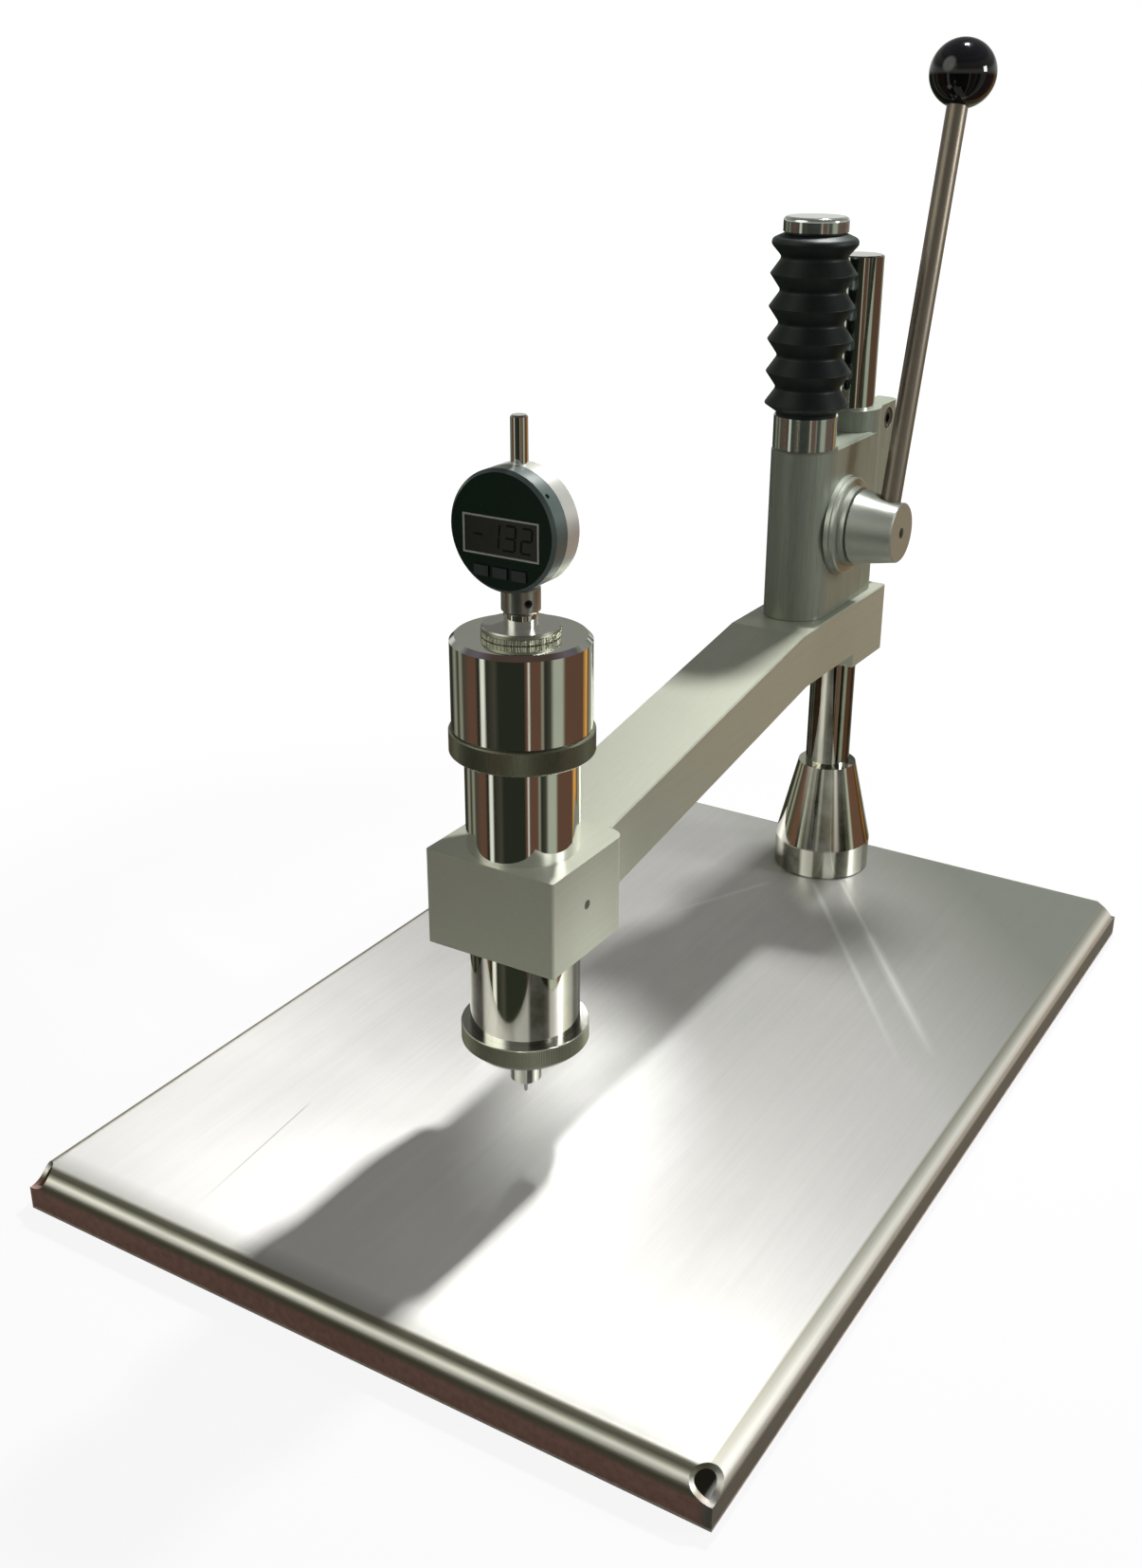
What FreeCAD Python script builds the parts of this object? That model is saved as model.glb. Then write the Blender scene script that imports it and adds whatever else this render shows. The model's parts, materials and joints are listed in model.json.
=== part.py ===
import FreeCAD, Part
import math
import os
import re
import Sketcher

# Bench durometer on a hand press.
# A folded steel base carries a polished column. A press housing is clamped to the column,
# and its rack-driven ram lowers a cranked arm that slides on the same column. The arm's
# block holds the measuring head: a tube with a sprung needle below and an indicator on top.
# +Z is up, +X is the lever side, -Y is the front. The origin is at the floor, under the
# middle of the base. Sizes are in millimetres and degrees.

V = FreeCAD.Vector

SIZES = {
    "base plate": {
        "base_width": 400,
        "base_length": 600,
        "base_height": 25,
        "sheet_thickness": 3,
        "bend_radius": 9,
        "relief_radius": 11.5,
        "relief_inset": 1,
    },
    "column and foot": {
        "column_setback": 47,
        "column_diameter": 30,
        "column_length": 419,
        "foot_diameter": 66,
        "foot_rim_height": 21,
        "foot_top_diameter": 39.5,
        "foot_height": 78,
        "foot_bolt_diameter": 12,
        "foot_bolt_reach": 28,
        "foot_bolt_head_diameter": 18,
        "foot_bolt_head_height": 12,
        "backing_washer_diameter": 50,
        "backing_washer_thickness": 4,
    },
    "press housing": {
        "housing_width": 40,
        "housing_height": 106.5,
        "housing_edge": 1.6,
        "clamp_boss_height": 13.5,
        "ram_offset": 70,
        "pinion_height": 55,
        "lug_width": 34,
        "lug_reach": 43,
        "lug_height": 95,
        "lug_corner_radius": 9,
        "lug_root_radius": 4,
        "clamp_slot": 2.5,
        "clamp_screw_diameter": 8,
        "clamp_screw_offset": 24,
        "clamp_screw_inset": 10,
        "screw_head_diameter": 13,
        "screw_head_height": 8,
        "head_socket_width": 6,
        "head_recess_gap": 0.6,
    },
    "guide ring, cap and bellows": {
        "guide_ring_diameter": 39,
        "guide_ring_height": 19.5,
        "guide_spigot_diameter": 32,
        "guide_spigot_length": 8,
        "neck_diameter": 33.6,
        "neck_length": 6,
        "cap_diameter": 38.6,
        "cap_height": 8.5,
        "cap_edge_radius": 2.5,
        "cap_neck_length": 11,
        "bellows_length": 107,
        "bellows_folds": 6,
        "bellows_first_fold": 7,
        "bellows_last_fold": 5,
        "bellows_cuff": 2,
        "bellows_peak_diameter": 52,
        "bellows_valley_diameter": 38.4,
        "bellows_wall": 1.8,
        "bellows_valley_round": 2.5,
        "bellows_peak_round": 0.7,
        "return_spring_diameter": 32.4,
        "return_spring_wire": 2.6,
        "return_spring_turns": 7,
    },
    "rack and pinion": {
        "ram_diameter": 25,
        "ram_travel": 23,
        "ram_spigot_diameter": 16,
        "ram_socket_depth": 18,
        "gear_module": 1.5,
        "pinion_teeth": 18,
        "pressure_angle": 20,
        "pinion_face": 20,
        "rack_line": 9,
        "gear_backlash": 0.16,
        "mesh_reach": 15,
        "journal_diameter": 18,
        "bush_wall": 2,
        "shaft_seat_diameter": 16,
    },
    "bearing flange and lever": {
        "flange_diameter": 62.4,
        "flange_step_diameter": 60.4,
        "flange_boss_diameter": 50,
        "flange_layer": 3,
        "flange_boss_height": 4,
        "side_cap_diameter": 34,
        "side_cap_thickness": 3,
        "hub_base_diameter": 46.8,
        "hub_end_diameter": 37.4,
        "hub_length": 28.3,
        "hub_gap": 0.5,
        "hub_bore_depth": 19.6,
        "hub_thread_diameter": 6.8,
        "lever_inset": 17.9,
        "lever_recess_diameter": 19,
        "lever_recess_level": 12.5,
        "lever_diameter": 12.8,
        "knob_thread_start": 6,
        "lever_length": 272.3,
        "lever_lean": 14.7,
        "knob_diameter": 40,
        "knob_flat": 18.7,
        "key_width": 5,
        "key_length": 14,
    },
    "arm": {
        "arm_level": 204.7,
        "arm_width": 50,
        "arm_thickness": 36,
        "arm_back": 20,
        "arm_flat": 110,
        "arm_under_flat": 102,
        "arm_slope": 9.2,
        "guide_boss_drop": 9.5,
        "guide_boss_front": 28,
        "column_bush_wall": 2,
        "ram_screw_diameter": 8,
        "ram_screw_seat": 9,
        "block_width": 75,
        "block_front": 31.4,
        "block_back": 38,
        "block_height": 52,
        "block_drop": 34.9,
        "block_corner_room": 3.5,
        "block_edge": 0.8,
        "grub_screw_diameter": 5,
        "grub_screw_level": 24.4,
        "grub_screw_length": 5,
        "grub_socket_width": 2.5,
    },
    "measuring head": {
        "head_reach": 386,
        "tube_diameter": 57.4,
        "tube_wall": 3,
        "tube_below_block": 49,
        "tube_above_block": 50.8,
        "bottom_ring_diameter": 67,
        "bottom_ring_height": 13,
        "bottom_ring_floor": 6,
        "bottom_ring_chamfer": 3,
        "nose_diameter": 16.6,
        "nose_length": 24,
        "nose_chamfer": 1.2,
        "nose_floor": 3.7,
        "nose_flange_height": 4,
        "needle_diameter": 2.1,
        "needle_reach": 8.5,
        "needle_depth": 10,
        "needle_travel": 8,
        "plunger_diameter": 10,
        "plunger_collar_diameter": 22,
        "plunger_collar_height": 4,
        "plunger_collar_level": 140,
        "guide_thickness": 8,
        "upper_guide_drop": 35,
        "spindle_gap": 17.7,
        "main_spring_diameter": 16,
        "main_spring_wire": 2,
        "main_spring_turns": 7,
        "cup_ring_diameter": 72,
        "cup_ring_height": 12.2,
        "cup_diameter": 69,
        "cup_height": 46.9,
        "cup_top": 7,
        "cup_chamfer": 2.4,
        "lock_disc_diameter": 38.8,
        "lock_disc_height": 5,
        "sleeve_diameter": 16.7,
        "sleeve_exposed": 6,
        "sleeve_flange_diameter": 26,
        "sleeve_flange_height": 3,
        "collar_diameter": 19,
        "collar_height": 12.5,
        "collar_screw_angle": 35,
        "collar_screw_diameter": 4,
        "collar_screw_length": 4.4,
    },
    "indicator": {
        "gauge_diameter": 58.2,
        "case_front": 5,
        "case_back": 6,
        "case_wall": 2,
        "back_cover_diameter": 50,
        "back_cover_thickness": 2.2,
        "bezel_depth": 10.8,
        "bezel_bevel": 1.7,
        "bezel_wall": 1.5,
        "bezel_gap": 0.3,
        "face_thickness": 2,
        "gauge_stem_diameter": 8,
        "gauge_stem_length": 26,
        "spindle_diameter": 4,
        "spindle_rise": 38,
        "contact_diameter": 6,
        "contact_height": 7,
        "guard_diameter": 8.3,
        "guard_bore": 5.4,
        "guard_height": 21.8,
        "guard_seat": 1.2,
        "display_side_room": 6.6,
        "display_height": 18.6,
        "display_border": 0.8,
        "display_raise": 0.4,
        "display_recess": 0.7,
        "display_shift": -0.2,
        "display_lift": -2.6,
        "window_thickness": 1.2,
        "key_plate_width": 7.8,
        "key_plate_height": 5,
        "key_plate_raise": 0.9,
        "key_shift": -0.6,
        "key_rim_room": 8.1,
        "key_travel": 0.7,
        "key_stem_diameter": 3,
        "board_setback": 3.2,
        "board_thickness": 1.6,
        "cell_diameter": 16,
        "cell_thickness": 1.6,
        "cell_lift": 12,
        "bezel_screw_diameter": 2.4,
        "bezel_screw_angle": 40,
    },
    "clearances": {
        "running_gap": 0.06,
        "fixed_gap": 0.02,
        "seat_gap": 0.3,
        "key_gap": 0.15,
        "edge_break": 0.8,
    },
}

ALIASES = {name for group in SIZES.values() for name in group}

doc = FreeCAD.newDocument("durometer")
sheet = doc.addObject("Spreadsheet::Sheet", "sizes")
pieces = []


def fill_sheet():
    """One row per driving size, under the heading of its group."""
    row = 1
    for group, values in SIZES.items():
        sheet.set("A%d" % row, group)
        row += 1
        for name, value in values.items():
            sheet.set("A%d" % row, name.replace("_", " "))
            sheet.set("B%d" % row, str(value))
            sheet.setAlias("B%d" % row, name)
            row += 1
    doc.recompute()


def cells(formula):
    """The formula with each size name written as a cell of the sheet."""
    return re.sub(
        r"[a-z][a-z_]+",
        lambda word: "sizes." + word.group() if word.group() in ALIASES else word.group(),
        str(formula),
    )


def size(formula):
    """The present value of a formula."""
    return float(sheet.evalExpression(cells(formula)))


def bind(thing, **formulas):
    """Bind properties of a feature to formulas; double underscores stand for dots."""
    for name, formula in formulas.items():
        thing.setExpression(name.replace("__", "."), cells(formula))


def place(thing, at, turn=None):
    """Bind a feature's place; turn is an axis and the formula of an angle in degrees."""
    if turn:
        thing.Placement = FreeCAD.Placement(V(), FreeCAD.Rotation(turn[0], size(turn[1])))
        bind(thing, Placement__Rotation__Angle=turn[1])
    bind(thing, Placement__Base__x=at[0], Placement__Base__y=at[1], Placement__Base__z=at[2])


# Axes and levels that several pieces share

COLUMN_Y = "(base_length / 2 - column_setback)"
RAM_Y = f"({COLUMN_Y} - ram_offset)"
HEAD_Y = f"({COLUMN_Y} - head_reach)"
PITCH_RADIUS = "(gear_module * pinion_teeth / 2)"
PINION_Y = f"({RAM_Y} + rack_line + {PITCH_RADIUS})"

UNDERSIDE = "(base_height - sheet_thickness)"
COLUMN_TOP = "(base_height + column_length)"
FOOT_TOP = "(base_height + foot_height)"
ARM_TOP = "(base_height + arm_level)"
HOUSING_BOTTOM = f"({ARM_TOP} + seat_gap)"
HOUSING_TOP = f"({HOUSING_BOTTOM} + housing_height)"
BOSS_TOP = f"({HOUSING_TOP} + clamp_boss_height)"
LUG_BOTTOM = f"({BOSS_TOP} - lug_height)"
PINION_Z = f"({HOUSING_BOTTOM} + pinion_height)"
GUIDE_TOP = f"({HOUSING_TOP} + guide_ring_height)"
CAP_BOTTOM = f"({GUIDE_TOP} + bellows_length + 2 * fixed_gap)"
CAP_TOP = f"({CAP_BOTTOM} + cap_height)"
RAM_SHOULDER = f"({CAP_BOTTOM} - cap_neck_length)"
RAM_BOTTOM = f"({ARM_TOP} - ram_socket_depth)"

BLOCK_TOP = f"({ARM_TOP} - block_drop)"
BLOCK_BOTTOM = f"({BLOCK_TOP} - block_height)"
BOTTOM_RING_TOP = f"({BLOCK_BOTTOM} - tube_below_block)"
BOTTOM_RING_BOTTOM = f"({BOTTOM_RING_TOP} - bottom_ring_height)"
TUBE_BOTTOM = f"({BOTTOM_RING_BOTTOM} + bottom_ring_floor)"
NOSE_BOTTOM = f"({BOTTOM_RING_BOTTOM} - nose_length)"
NEEDLE_TIP = f"({NOSE_BOTTOM} - needle_reach)"
CUP_BOTTOM = f"({BLOCK_TOP} + tube_above_block + cup_ring_height)"
CUP_TOP = f"({CUP_BOTTOM} + cup_height)"
TUBE_TOP = f"({CUP_TOP} - cup_top)"
DISC_TOP = f"({CUP_TOP} + lock_disc_height)"
SLEEVE_TOP = f"({DISC_TOP} + sleeve_exposed)"
COLLAR_TOP = f"({SLEEVE_TOP} + collar_height)"
GAUGE_Z = f"({COLLAR_TOP} + gauge_diameter / 2 + seat_gap)"
PLUNGER_BOTTOM = f"({NOSE_BOTTOM} + nose_floor + seat_gap)"
PLUNGER_TOP = f"({TUBE_TOP} - spindle_gap)"
COLLAR_LEVEL = f"({PLUNGER_BOTTOM} + plunger_collar_level)"
UPPER_GUIDE = f"({TUBE_TOP} - upper_guide_drop)"
FACE_DEPTH = "(case_front + bezel_depth)"
FACE_RADIUS = "(gauge_diameter / 2 - bezel_bevel)"
DISPLAY_WIDTH = f"(2 * {FACE_RADIUS} - 2 * display_side_room)"
KEY_SPACING = f"({DISPLAY_WIDTH} / 4)"
KEY_DROP = f"({FACE_RADIUS} - key_rim_room)"
KEYS = {"left_key": "-1", "middle_key": "0", "right_key": "1"}

HALF_HOUSING = "(housing_width / 2)"
BORE_RADIUS = "(guide_spigot_diameter / 2)"
BUSH_RADIUS = "(journal_diameter / 2 + bush_wall)"
FLANGE_END = f"({HALF_HOUSING} + 2 * flange_layer + flange_boss_height)"
HUB_START = f"({FLANGE_END} + hub_gap)"
LEVER_X = f"({HUB_START} + lever_inset)"
KEY_LEVEL = "(shaft_seat_diameter / 2 - key_width * 0.6)"

DIRECTIONS = {
    "x": FreeCAD.Rotation(V(0, 1, 0), 90),
    "y": FreeCAD.Rotation(V(1, 0, 0), -90),
    "z": FreeCAD.Rotation(),
}


# Ways of building

def new_body(name, piece=True):
    """A body with a label of its own; a piece is written out as a node."""
    body = doc.addObject("PartDesign::Body", name)
    body.Label = name
    if piece:
        pieces.append(body)
    return body


def outline(body, role, points):
    """A closed outline on an origin plane, each corner held by two bound distances."""
    sketch = body.newObject("Sketcher::SketchObject", body.Name + "_outline")
    plane = [part for part in body.Origin.OriginFeatures if part.Role == role][0]
    sketch.AttachmentSupport = [(plane, "")]
    sketch.MapMode = "FlatFace"
    corners = [V(size(u), size(v), 0) for u, v in points]
    count = len(corners)
    for index, corner in enumerate(corners):
        sketch.addGeometry(Part.LineSegment(corner, corners[(index + 1) % count]))
    for index, corner in enumerate(corners):
        sketch.addConstraint(Sketcher.Constraint("Coincident", (index - 1) % count, 2, index, 1))
        for kind, formula, value in zip(("DistanceX", "DistanceY"), points[index], corner):
            held = sketch.addConstraint(Sketcher.Constraint(kind, -1, 1, index, 1, value))
            sketch.setExpression("Constraints[%d]" % held, cells(formula))
    return sketch


def turned(name, axis, at, points, turn=None, piece=True):
    """A turned piece. Its outline gives the distance along the axis and the radius,
    or the radius and the height where the axis is z."""
    body = new_body(name, piece)
    sketch = outline(body, "YZ_Plane" if axis == "y" else "XZ_Plane", points)
    solid = body.newObject("PartDesign::Revolution", name + "_turned")
    solid.Profile = sketch
    solid.ReferenceAxis = (sketch, ["V_Axis" if axis == "z" else "H_Axis"])
    solid.Angle = 360
    body.Tip = solid
    place(body, at, turn)
    return body


def extruded(name, role, points, length, at=("0", "0", "0")):
    """A piece of constant section, reaching half its length to each side of its plane."""
    body = new_body(name)
    solid = body.newObject("PartDesign::Pad", name + "_padded")
    solid.Profile = outline(body, role, points)
    solid.SideType = "Symmetric"
    bind(solid, Length=length)
    body.Tip = solid
    place(body, at)
    return body


def primitive(body, shape, at, direction="z", **sizes):
    """Add or cut a block, cylinder or sphere, such as AdditiveBox."""
    feature = body.newObject("PartDesign::" + shape, body.Name + "_" + shape)
    feature.Placement = FreeCAD.Placement(V(), DIRECTIONS[direction])
    place(feature, at)
    bind(feature, **sizes)
    body.Tip = feature
    return feature


def bore(body, radius, length, at, direction="z"):
    """Cut a round hole that starts at a point and runs along a direction."""
    return primitive(body, "SubtractiveCylinder", at, direction, Radius=radius, Height=length)


def block(body, kind, low, spans):
    """Add or cut a block from its lowest corner."""
    return primitive(body, kind + "Box", low, Length=spans[0], Width=spans[1], Height=spans[2])


def hex_socket(body, role, depth, reverse=False):
    """Cut a hexagon socket into the end that lies on an origin plane."""
    corner = "head_socket_width / 2 / cos(30)"
    points = [(f"{corner} * cos({a})", f"{corner} * sin({a})") for a in range(0, 360, 60)]
    pocket = body.newObject("PartDesign::Pocket", body.Name + "_socket")
    pocket.Profile = outline(body, role, points)
    pocket.Reversed = reverse
    bind(pocket, Length=depth)
    body.Tip = pocket


def finish_edges(body, kind, amount, chosen):
    """Fillet or chamfer the edges that a test picks."""
    doc.recompute()
    base = body.Tip
    names = ["Edge%d" % (i + 1) for i, edge in enumerate(base.Shape.Edges) if chosen(edge)]
    feature = body.newObject("PartDesign::" + kind, body.Name + "_" + kind)
    feature.Base = (base, names)
    bind(feature, **{"Radius" if kind == "Fillet" else "Size": amount})
    body.Tip = feature
    return feature


def upright(edge):
    """An edge that runs straight up."""
    box = edge.BoundBox
    return box.XLength < 1e-6 and box.YLength < 1e-6


def at_level(edge, height):
    """An edge that lies flat at a height."""
    box = edge.BoundBox
    return abs(box.ZMin - height) < 1e-6 and abs(box.ZMax - height) < 1e-6


def shaped(name, shape, at=("0", "0", "0"), turn=None):
    """A piece whose form is worked out point by point."""
    piece = doc.addObject("Part::Feature", name)
    piece.Label = name
    piece.Shape = shape
    place(piece, at, turn)
    pieces.append(piece)
    return piece


def ring(inner, outer, low, high, edge="edge_break"):
    """Radii and heights of a plain ring with its outer edges broken."""
    return [
        (inner, low),
        (f"{outer} - {edge}", low),
        (outer, f"{low} + {edge}"),
        (outer, f"{high} - {edge}"),
        (f"{outer} - {edge}", high),
        (inner, high),
    ]


def across(points):
    """The same outline for a piece whose axis lies flat."""
    return [(along, radius) for radius, along in points]


# Base and column

def make_base_plate():
    body = new_body("base_plate")
    block(body, "Additive", ("-base_width / 2", "-base_length / 2", "0"),
          ("base_width", "base_length", "base_height"))
    top = size("base_height")
    finish_edges(body, "Fillet", "bend_radius", lambda edge: at_level(edge, top))
    block(body, "Subtractive",
          ("sheet_thickness - base_width / 2", "sheet_thickness - base_length / 2", "0"),
          ("base_width - 2 * sheet_thickness", "base_length - 2 * sheet_thickness", UNDERSIDE))
    ceiling = size(UNDERSIDE)
    finish_edges(body, "Fillet", "bend_radius - sheet_thickness",
                 lambda edge: at_level(edge, ceiling))
    for x_side in ("-1", "1"):
        for y_side in ("-1", "1"):
            primitive(body, "SubtractiveSphere",
                      (f"{x_side} * (base_width / 2 - relief_inset)",
                       f"{y_side} * (base_length / 2 - relief_inset)",
                       "base_height - relief_inset / 2"),
                      Radius="relief_radius")
    bore(body, "foot_bolt_diameter / 2 + seat_gap", "base_height", ("0", COLUMN_Y, "0"))


def make_column():
    hole = "(foot_bolt_diameter / 2 + fixed_gap)"
    depth = "(foot_bolt_reach + seat_gap)"
    turned("column", "z", ("0", COLUMN_Y, "base_height"), [
        (hole, "0"),
        ("column_diameter / 2 - edge_break", "0"),
        ("column_diameter / 2", "edge_break"),
        ("column_diameter / 2", "column_length - edge_break"),
        ("column_diameter / 2 - edge_break", "column_length"),
        ("0", "column_length"),
        ("0", depth),
        (hole, depth),
    ])


def make_foot():
    inner = "(column_diameter / 2 + fixed_gap)"
    turned("column_foot", "z", ("0", COLUMN_Y, "base_height"), [
        (inner, "0"),
        ("foot_diameter / 2 - edge_break", "0"),
        ("foot_diameter / 2", "edge_break"),
        ("foot_diameter / 2", "foot_rim_height"),
        ("foot_top_diameter / 2", "foot_height"),
        (inner, "foot_height"),
    ])
    turned("foot_washer", "z", ("0", COLUMN_Y, f"{UNDERSIDE} - backing_washer_thickness"),
           ring("(foot_bolt_diameter / 2 + seat_gap)", "backing_washer_diameter / 2",
                "0", "backing_washer_thickness"))


def cap_screw(name, axis, at, diameter, head, height, reach, downwards=False):
    """A cap screw. The head starts at the piece's origin and the shank runs on from it."""
    sign = "-1" if downwards else "1"
    points = [
        ("0", "0"),
        (f"{head} / 2 - 0.5", "0"),
        (f"{head} / 2", f"{sign} * 0.5"),
        (f"{head} / 2", f"{sign} * {height}"),
        (f"{diameter} / 2", f"{sign} * {height}"),
        (f"{diameter} / 2", f"{sign} * ({height} + {reach} - 1)"),
        (f"{diameter} / 2 - 1", f"{sign} * ({height} + {reach})"),
        ("0", f"{sign} * ({height} + {reach})"),
    ]
    body = turned(name, axis, at, points if axis == "z" else across(points))
    hex_socket(body, "XY_Plane" if axis == "z" else "YZ_Plane", f"{height} / 2", not downwards)


def make_foot_bolt():
    level = f"{UNDERSIDE} - backing_washer_thickness - foot_bolt_head_height"
    cap_screw("foot_bolt", "z", ("0", COLUMN_Y, level), "foot_bolt_diameter",
              "foot_bolt_head_diameter", "foot_bolt_head_height",
              "(backing_washer_thickness + sheet_thickness + foot_bolt_reach)")


# Press housing

def make_housing():
    body = new_body("press_housing")
    front = "-ram_offset"
    primitive(body, "AdditiveCylinder", ("0", front, "0"), Radius=HALF_HOUSING,
              Height="housing_height")
    block(body, "Additive", (f"-{HALF_HOUSING}", front, "0"),
          ("housing_width", "ram_offset", "housing_height"))
    top = size("housing_height")
    finish_edges(body, "Chamfer", "housing_edge",
                 lambda edge: at_level(edge, top) and edge.BoundBox.YMin < size("-1"))
    primitive(body, "AdditiveCylinder", ("0", "0", "0"), Radius=HALF_HOUSING,
              Height="housing_height + clamp_boss_height")
    lug_low = f"({LUG_BOTTOM} - {HOUSING_BOTTOM})"
    block(body, "Additive", ("-lug_width / 2", "0", lug_low),
          ("lug_width", "lug_reach", "lug_height"))
    back = size("lug_reach")
    finish_edges(body, "Fillet", "lug_corner_radius",
                 lambda edge: upright(edge) and abs(edge.BoundBox.YMax - back) < 1e-6)
    half = size("lug_width / 2")
    finish_edges(body, "Fillet", "lug_root_radius",
                 lambda edge: upright(edge) and abs(abs(edge.BoundBox.XMax) - half) < 1e-6
                 and 1 < edge.BoundBox.YMax < size("housing_width / 2"))
    bore(body, "column_diameter / 2 + fixed_gap", "housing_height + clamp_boss_height",
         ("0", "0", "0"))
    block(body, "Subtractive", ("-clamp_slot / 2", "0", "0"),
          ("clamp_slot", "lug_reach + 1", "housing_height + clamp_boss_height"))
    bore(body, "ram_diameter / 2 + running_gap", "housing_height", ("0", front, "0"))
    bore(body, BORE_RADIUS, "guide_spigot_length + seat_gap",
         ("0", front, "housing_height - guide_spigot_length - seat_gap"))
    axle_y = f"(rack_line + {PITCH_RADIUS} - ram_offset)"
    reach = "(pinion_face / 2 + 1)"
    bore(body, BORE_RADIUS, f"{reach} + {HALF_HOUSING}",
         (f"-{reach}", axle_y, "pinion_height"), "x")
    bore(body, BUSH_RADIUS, "housing_width", (f"-{HALF_HOUSING}", axle_y, "pinion_height"), "x")
    seat = "(lug_width / 2 - screw_head_height - head_recess_gap)"
    for level in (f"{lug_low} + clamp_screw_inset",
                  f"{lug_low} + lug_height - clamp_screw_inset"):
        bore(body, "clamp_screw_diameter / 2 + fixed_gap", "lug_width - 1",
             ("1 - lug_width / 2", "clamp_screw_offset", level), "x")
        bore(body, "clamp_screw_diameter / 2 + seat_gap", "lug_width / 2",
             ("0", "clamp_screw_offset", level), "x")
        bore(body, "screw_head_diameter / 2 + 0.5", "lug_width",
             (seat, "clamp_screw_offset", level), "x")
    place(body, ("0", COLUMN_Y, HOUSING_BOTTOM))


def make_clamp_screws():
    face = "lug_width / 2 - head_recess_gap"
    levels = {
        "lower_clamp_screw": f"{LUG_BOTTOM} + clamp_screw_inset",
        "upper_clamp_screw": f"{BOSS_TOP} - clamp_screw_inset",
    }
    for name, level in levels.items():
        cap_screw(name, "x", (face, f"{COLUMN_Y} + clamp_screw_offset", level),
                  "clamp_screw_diameter", "screw_head_diameter", "screw_head_height",
                  "(lug_width - screw_head_height - head_recess_gap - 3)", downwards=True)


def make_guide_ring():
    inner = "(ram_diameter / 2 + running_gap)"
    spigot = f"{BORE_RADIUS} - fixed_gap"
    turned("guide_ring", "z", ("0", RAM_Y, HOUSING_TOP), [
        (inner, "-guide_spigot_length"),
        (spigot, "-guide_spigot_length"),
        (spigot, "0"),
        ("guide_ring_diameter / 2", "0"),
        ("guide_ring_diameter / 2", "guide_ring_height"),
        ("neck_diameter / 2", "guide_ring_height"),
        ("neck_diameter / 2", "guide_ring_height + neck_length"),
        (inner, "guide_ring_height + neck_length"),
    ])


def make_axle_bearings():
    at = ("0", PINION_Y, PINION_Z)
    inner = "(journal_diameter / 2 + running_gap)"
    plug = "(pinion_face / 2 + 1)"
    outside = HALF_HOUSING
    turned("bearing_flange", "x", at, across([
        (f"{BUSH_RADIUS} + fixed_gap", plug),
        (f"{BORE_RADIUS} - fixed_gap", plug),
        (f"{BORE_RADIUS} - fixed_gap", outside),
        ("flange_diameter / 2", outside),
        ("flange_diameter / 2", f"{outside} + flange_layer"),
        ("flange_step_diameter / 2", f"{outside} + flange_layer"),
        ("flange_step_diameter / 2", f"{outside} + 2 * flange_layer - edge_break"),
        ("flange_step_diameter / 2 - edge_break", f"{outside} + 2 * flange_layer"),
        ("flange_boss_diameter / 2", f"{outside} + 2 * flange_layer"),
        ("flange_boss_diameter / 2", FLANGE_END),
        (f"{BUSH_RADIUS} + fixed_gap", FLANGE_END),
    ]))
    turned("right_bush", "x", at,
           across(ring(inner, BUSH_RADIUS, plug, FLANGE_END, "0.4")))
    turned("left_bush", "x", at,
           across(ring(inner, f"({BUSH_RADIUS} - fixed_gap)", f"-{outside}", f"-{plug}", "0.4")))
    turned("left_cap", "x", at, across([
        ("0", f"-{outside}"),
        ("side_cap_diameter / 2", f"-{outside}"),
        ("side_cap_diameter / 2", f"edge_break - {outside} - side_cap_thickness"),
        ("side_cap_diameter / 2 - edge_break", f"-{outside} - side_cap_thickness"),
        ("0", f"-{outside} - side_cap_thickness"),
    ]))


# Rack and pinion

def flat_face(edges):
    """A face inside a closed chain of edges."""
    return Part.Face(Part.Wire(Part.__sortEdges__(edges)))


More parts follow.
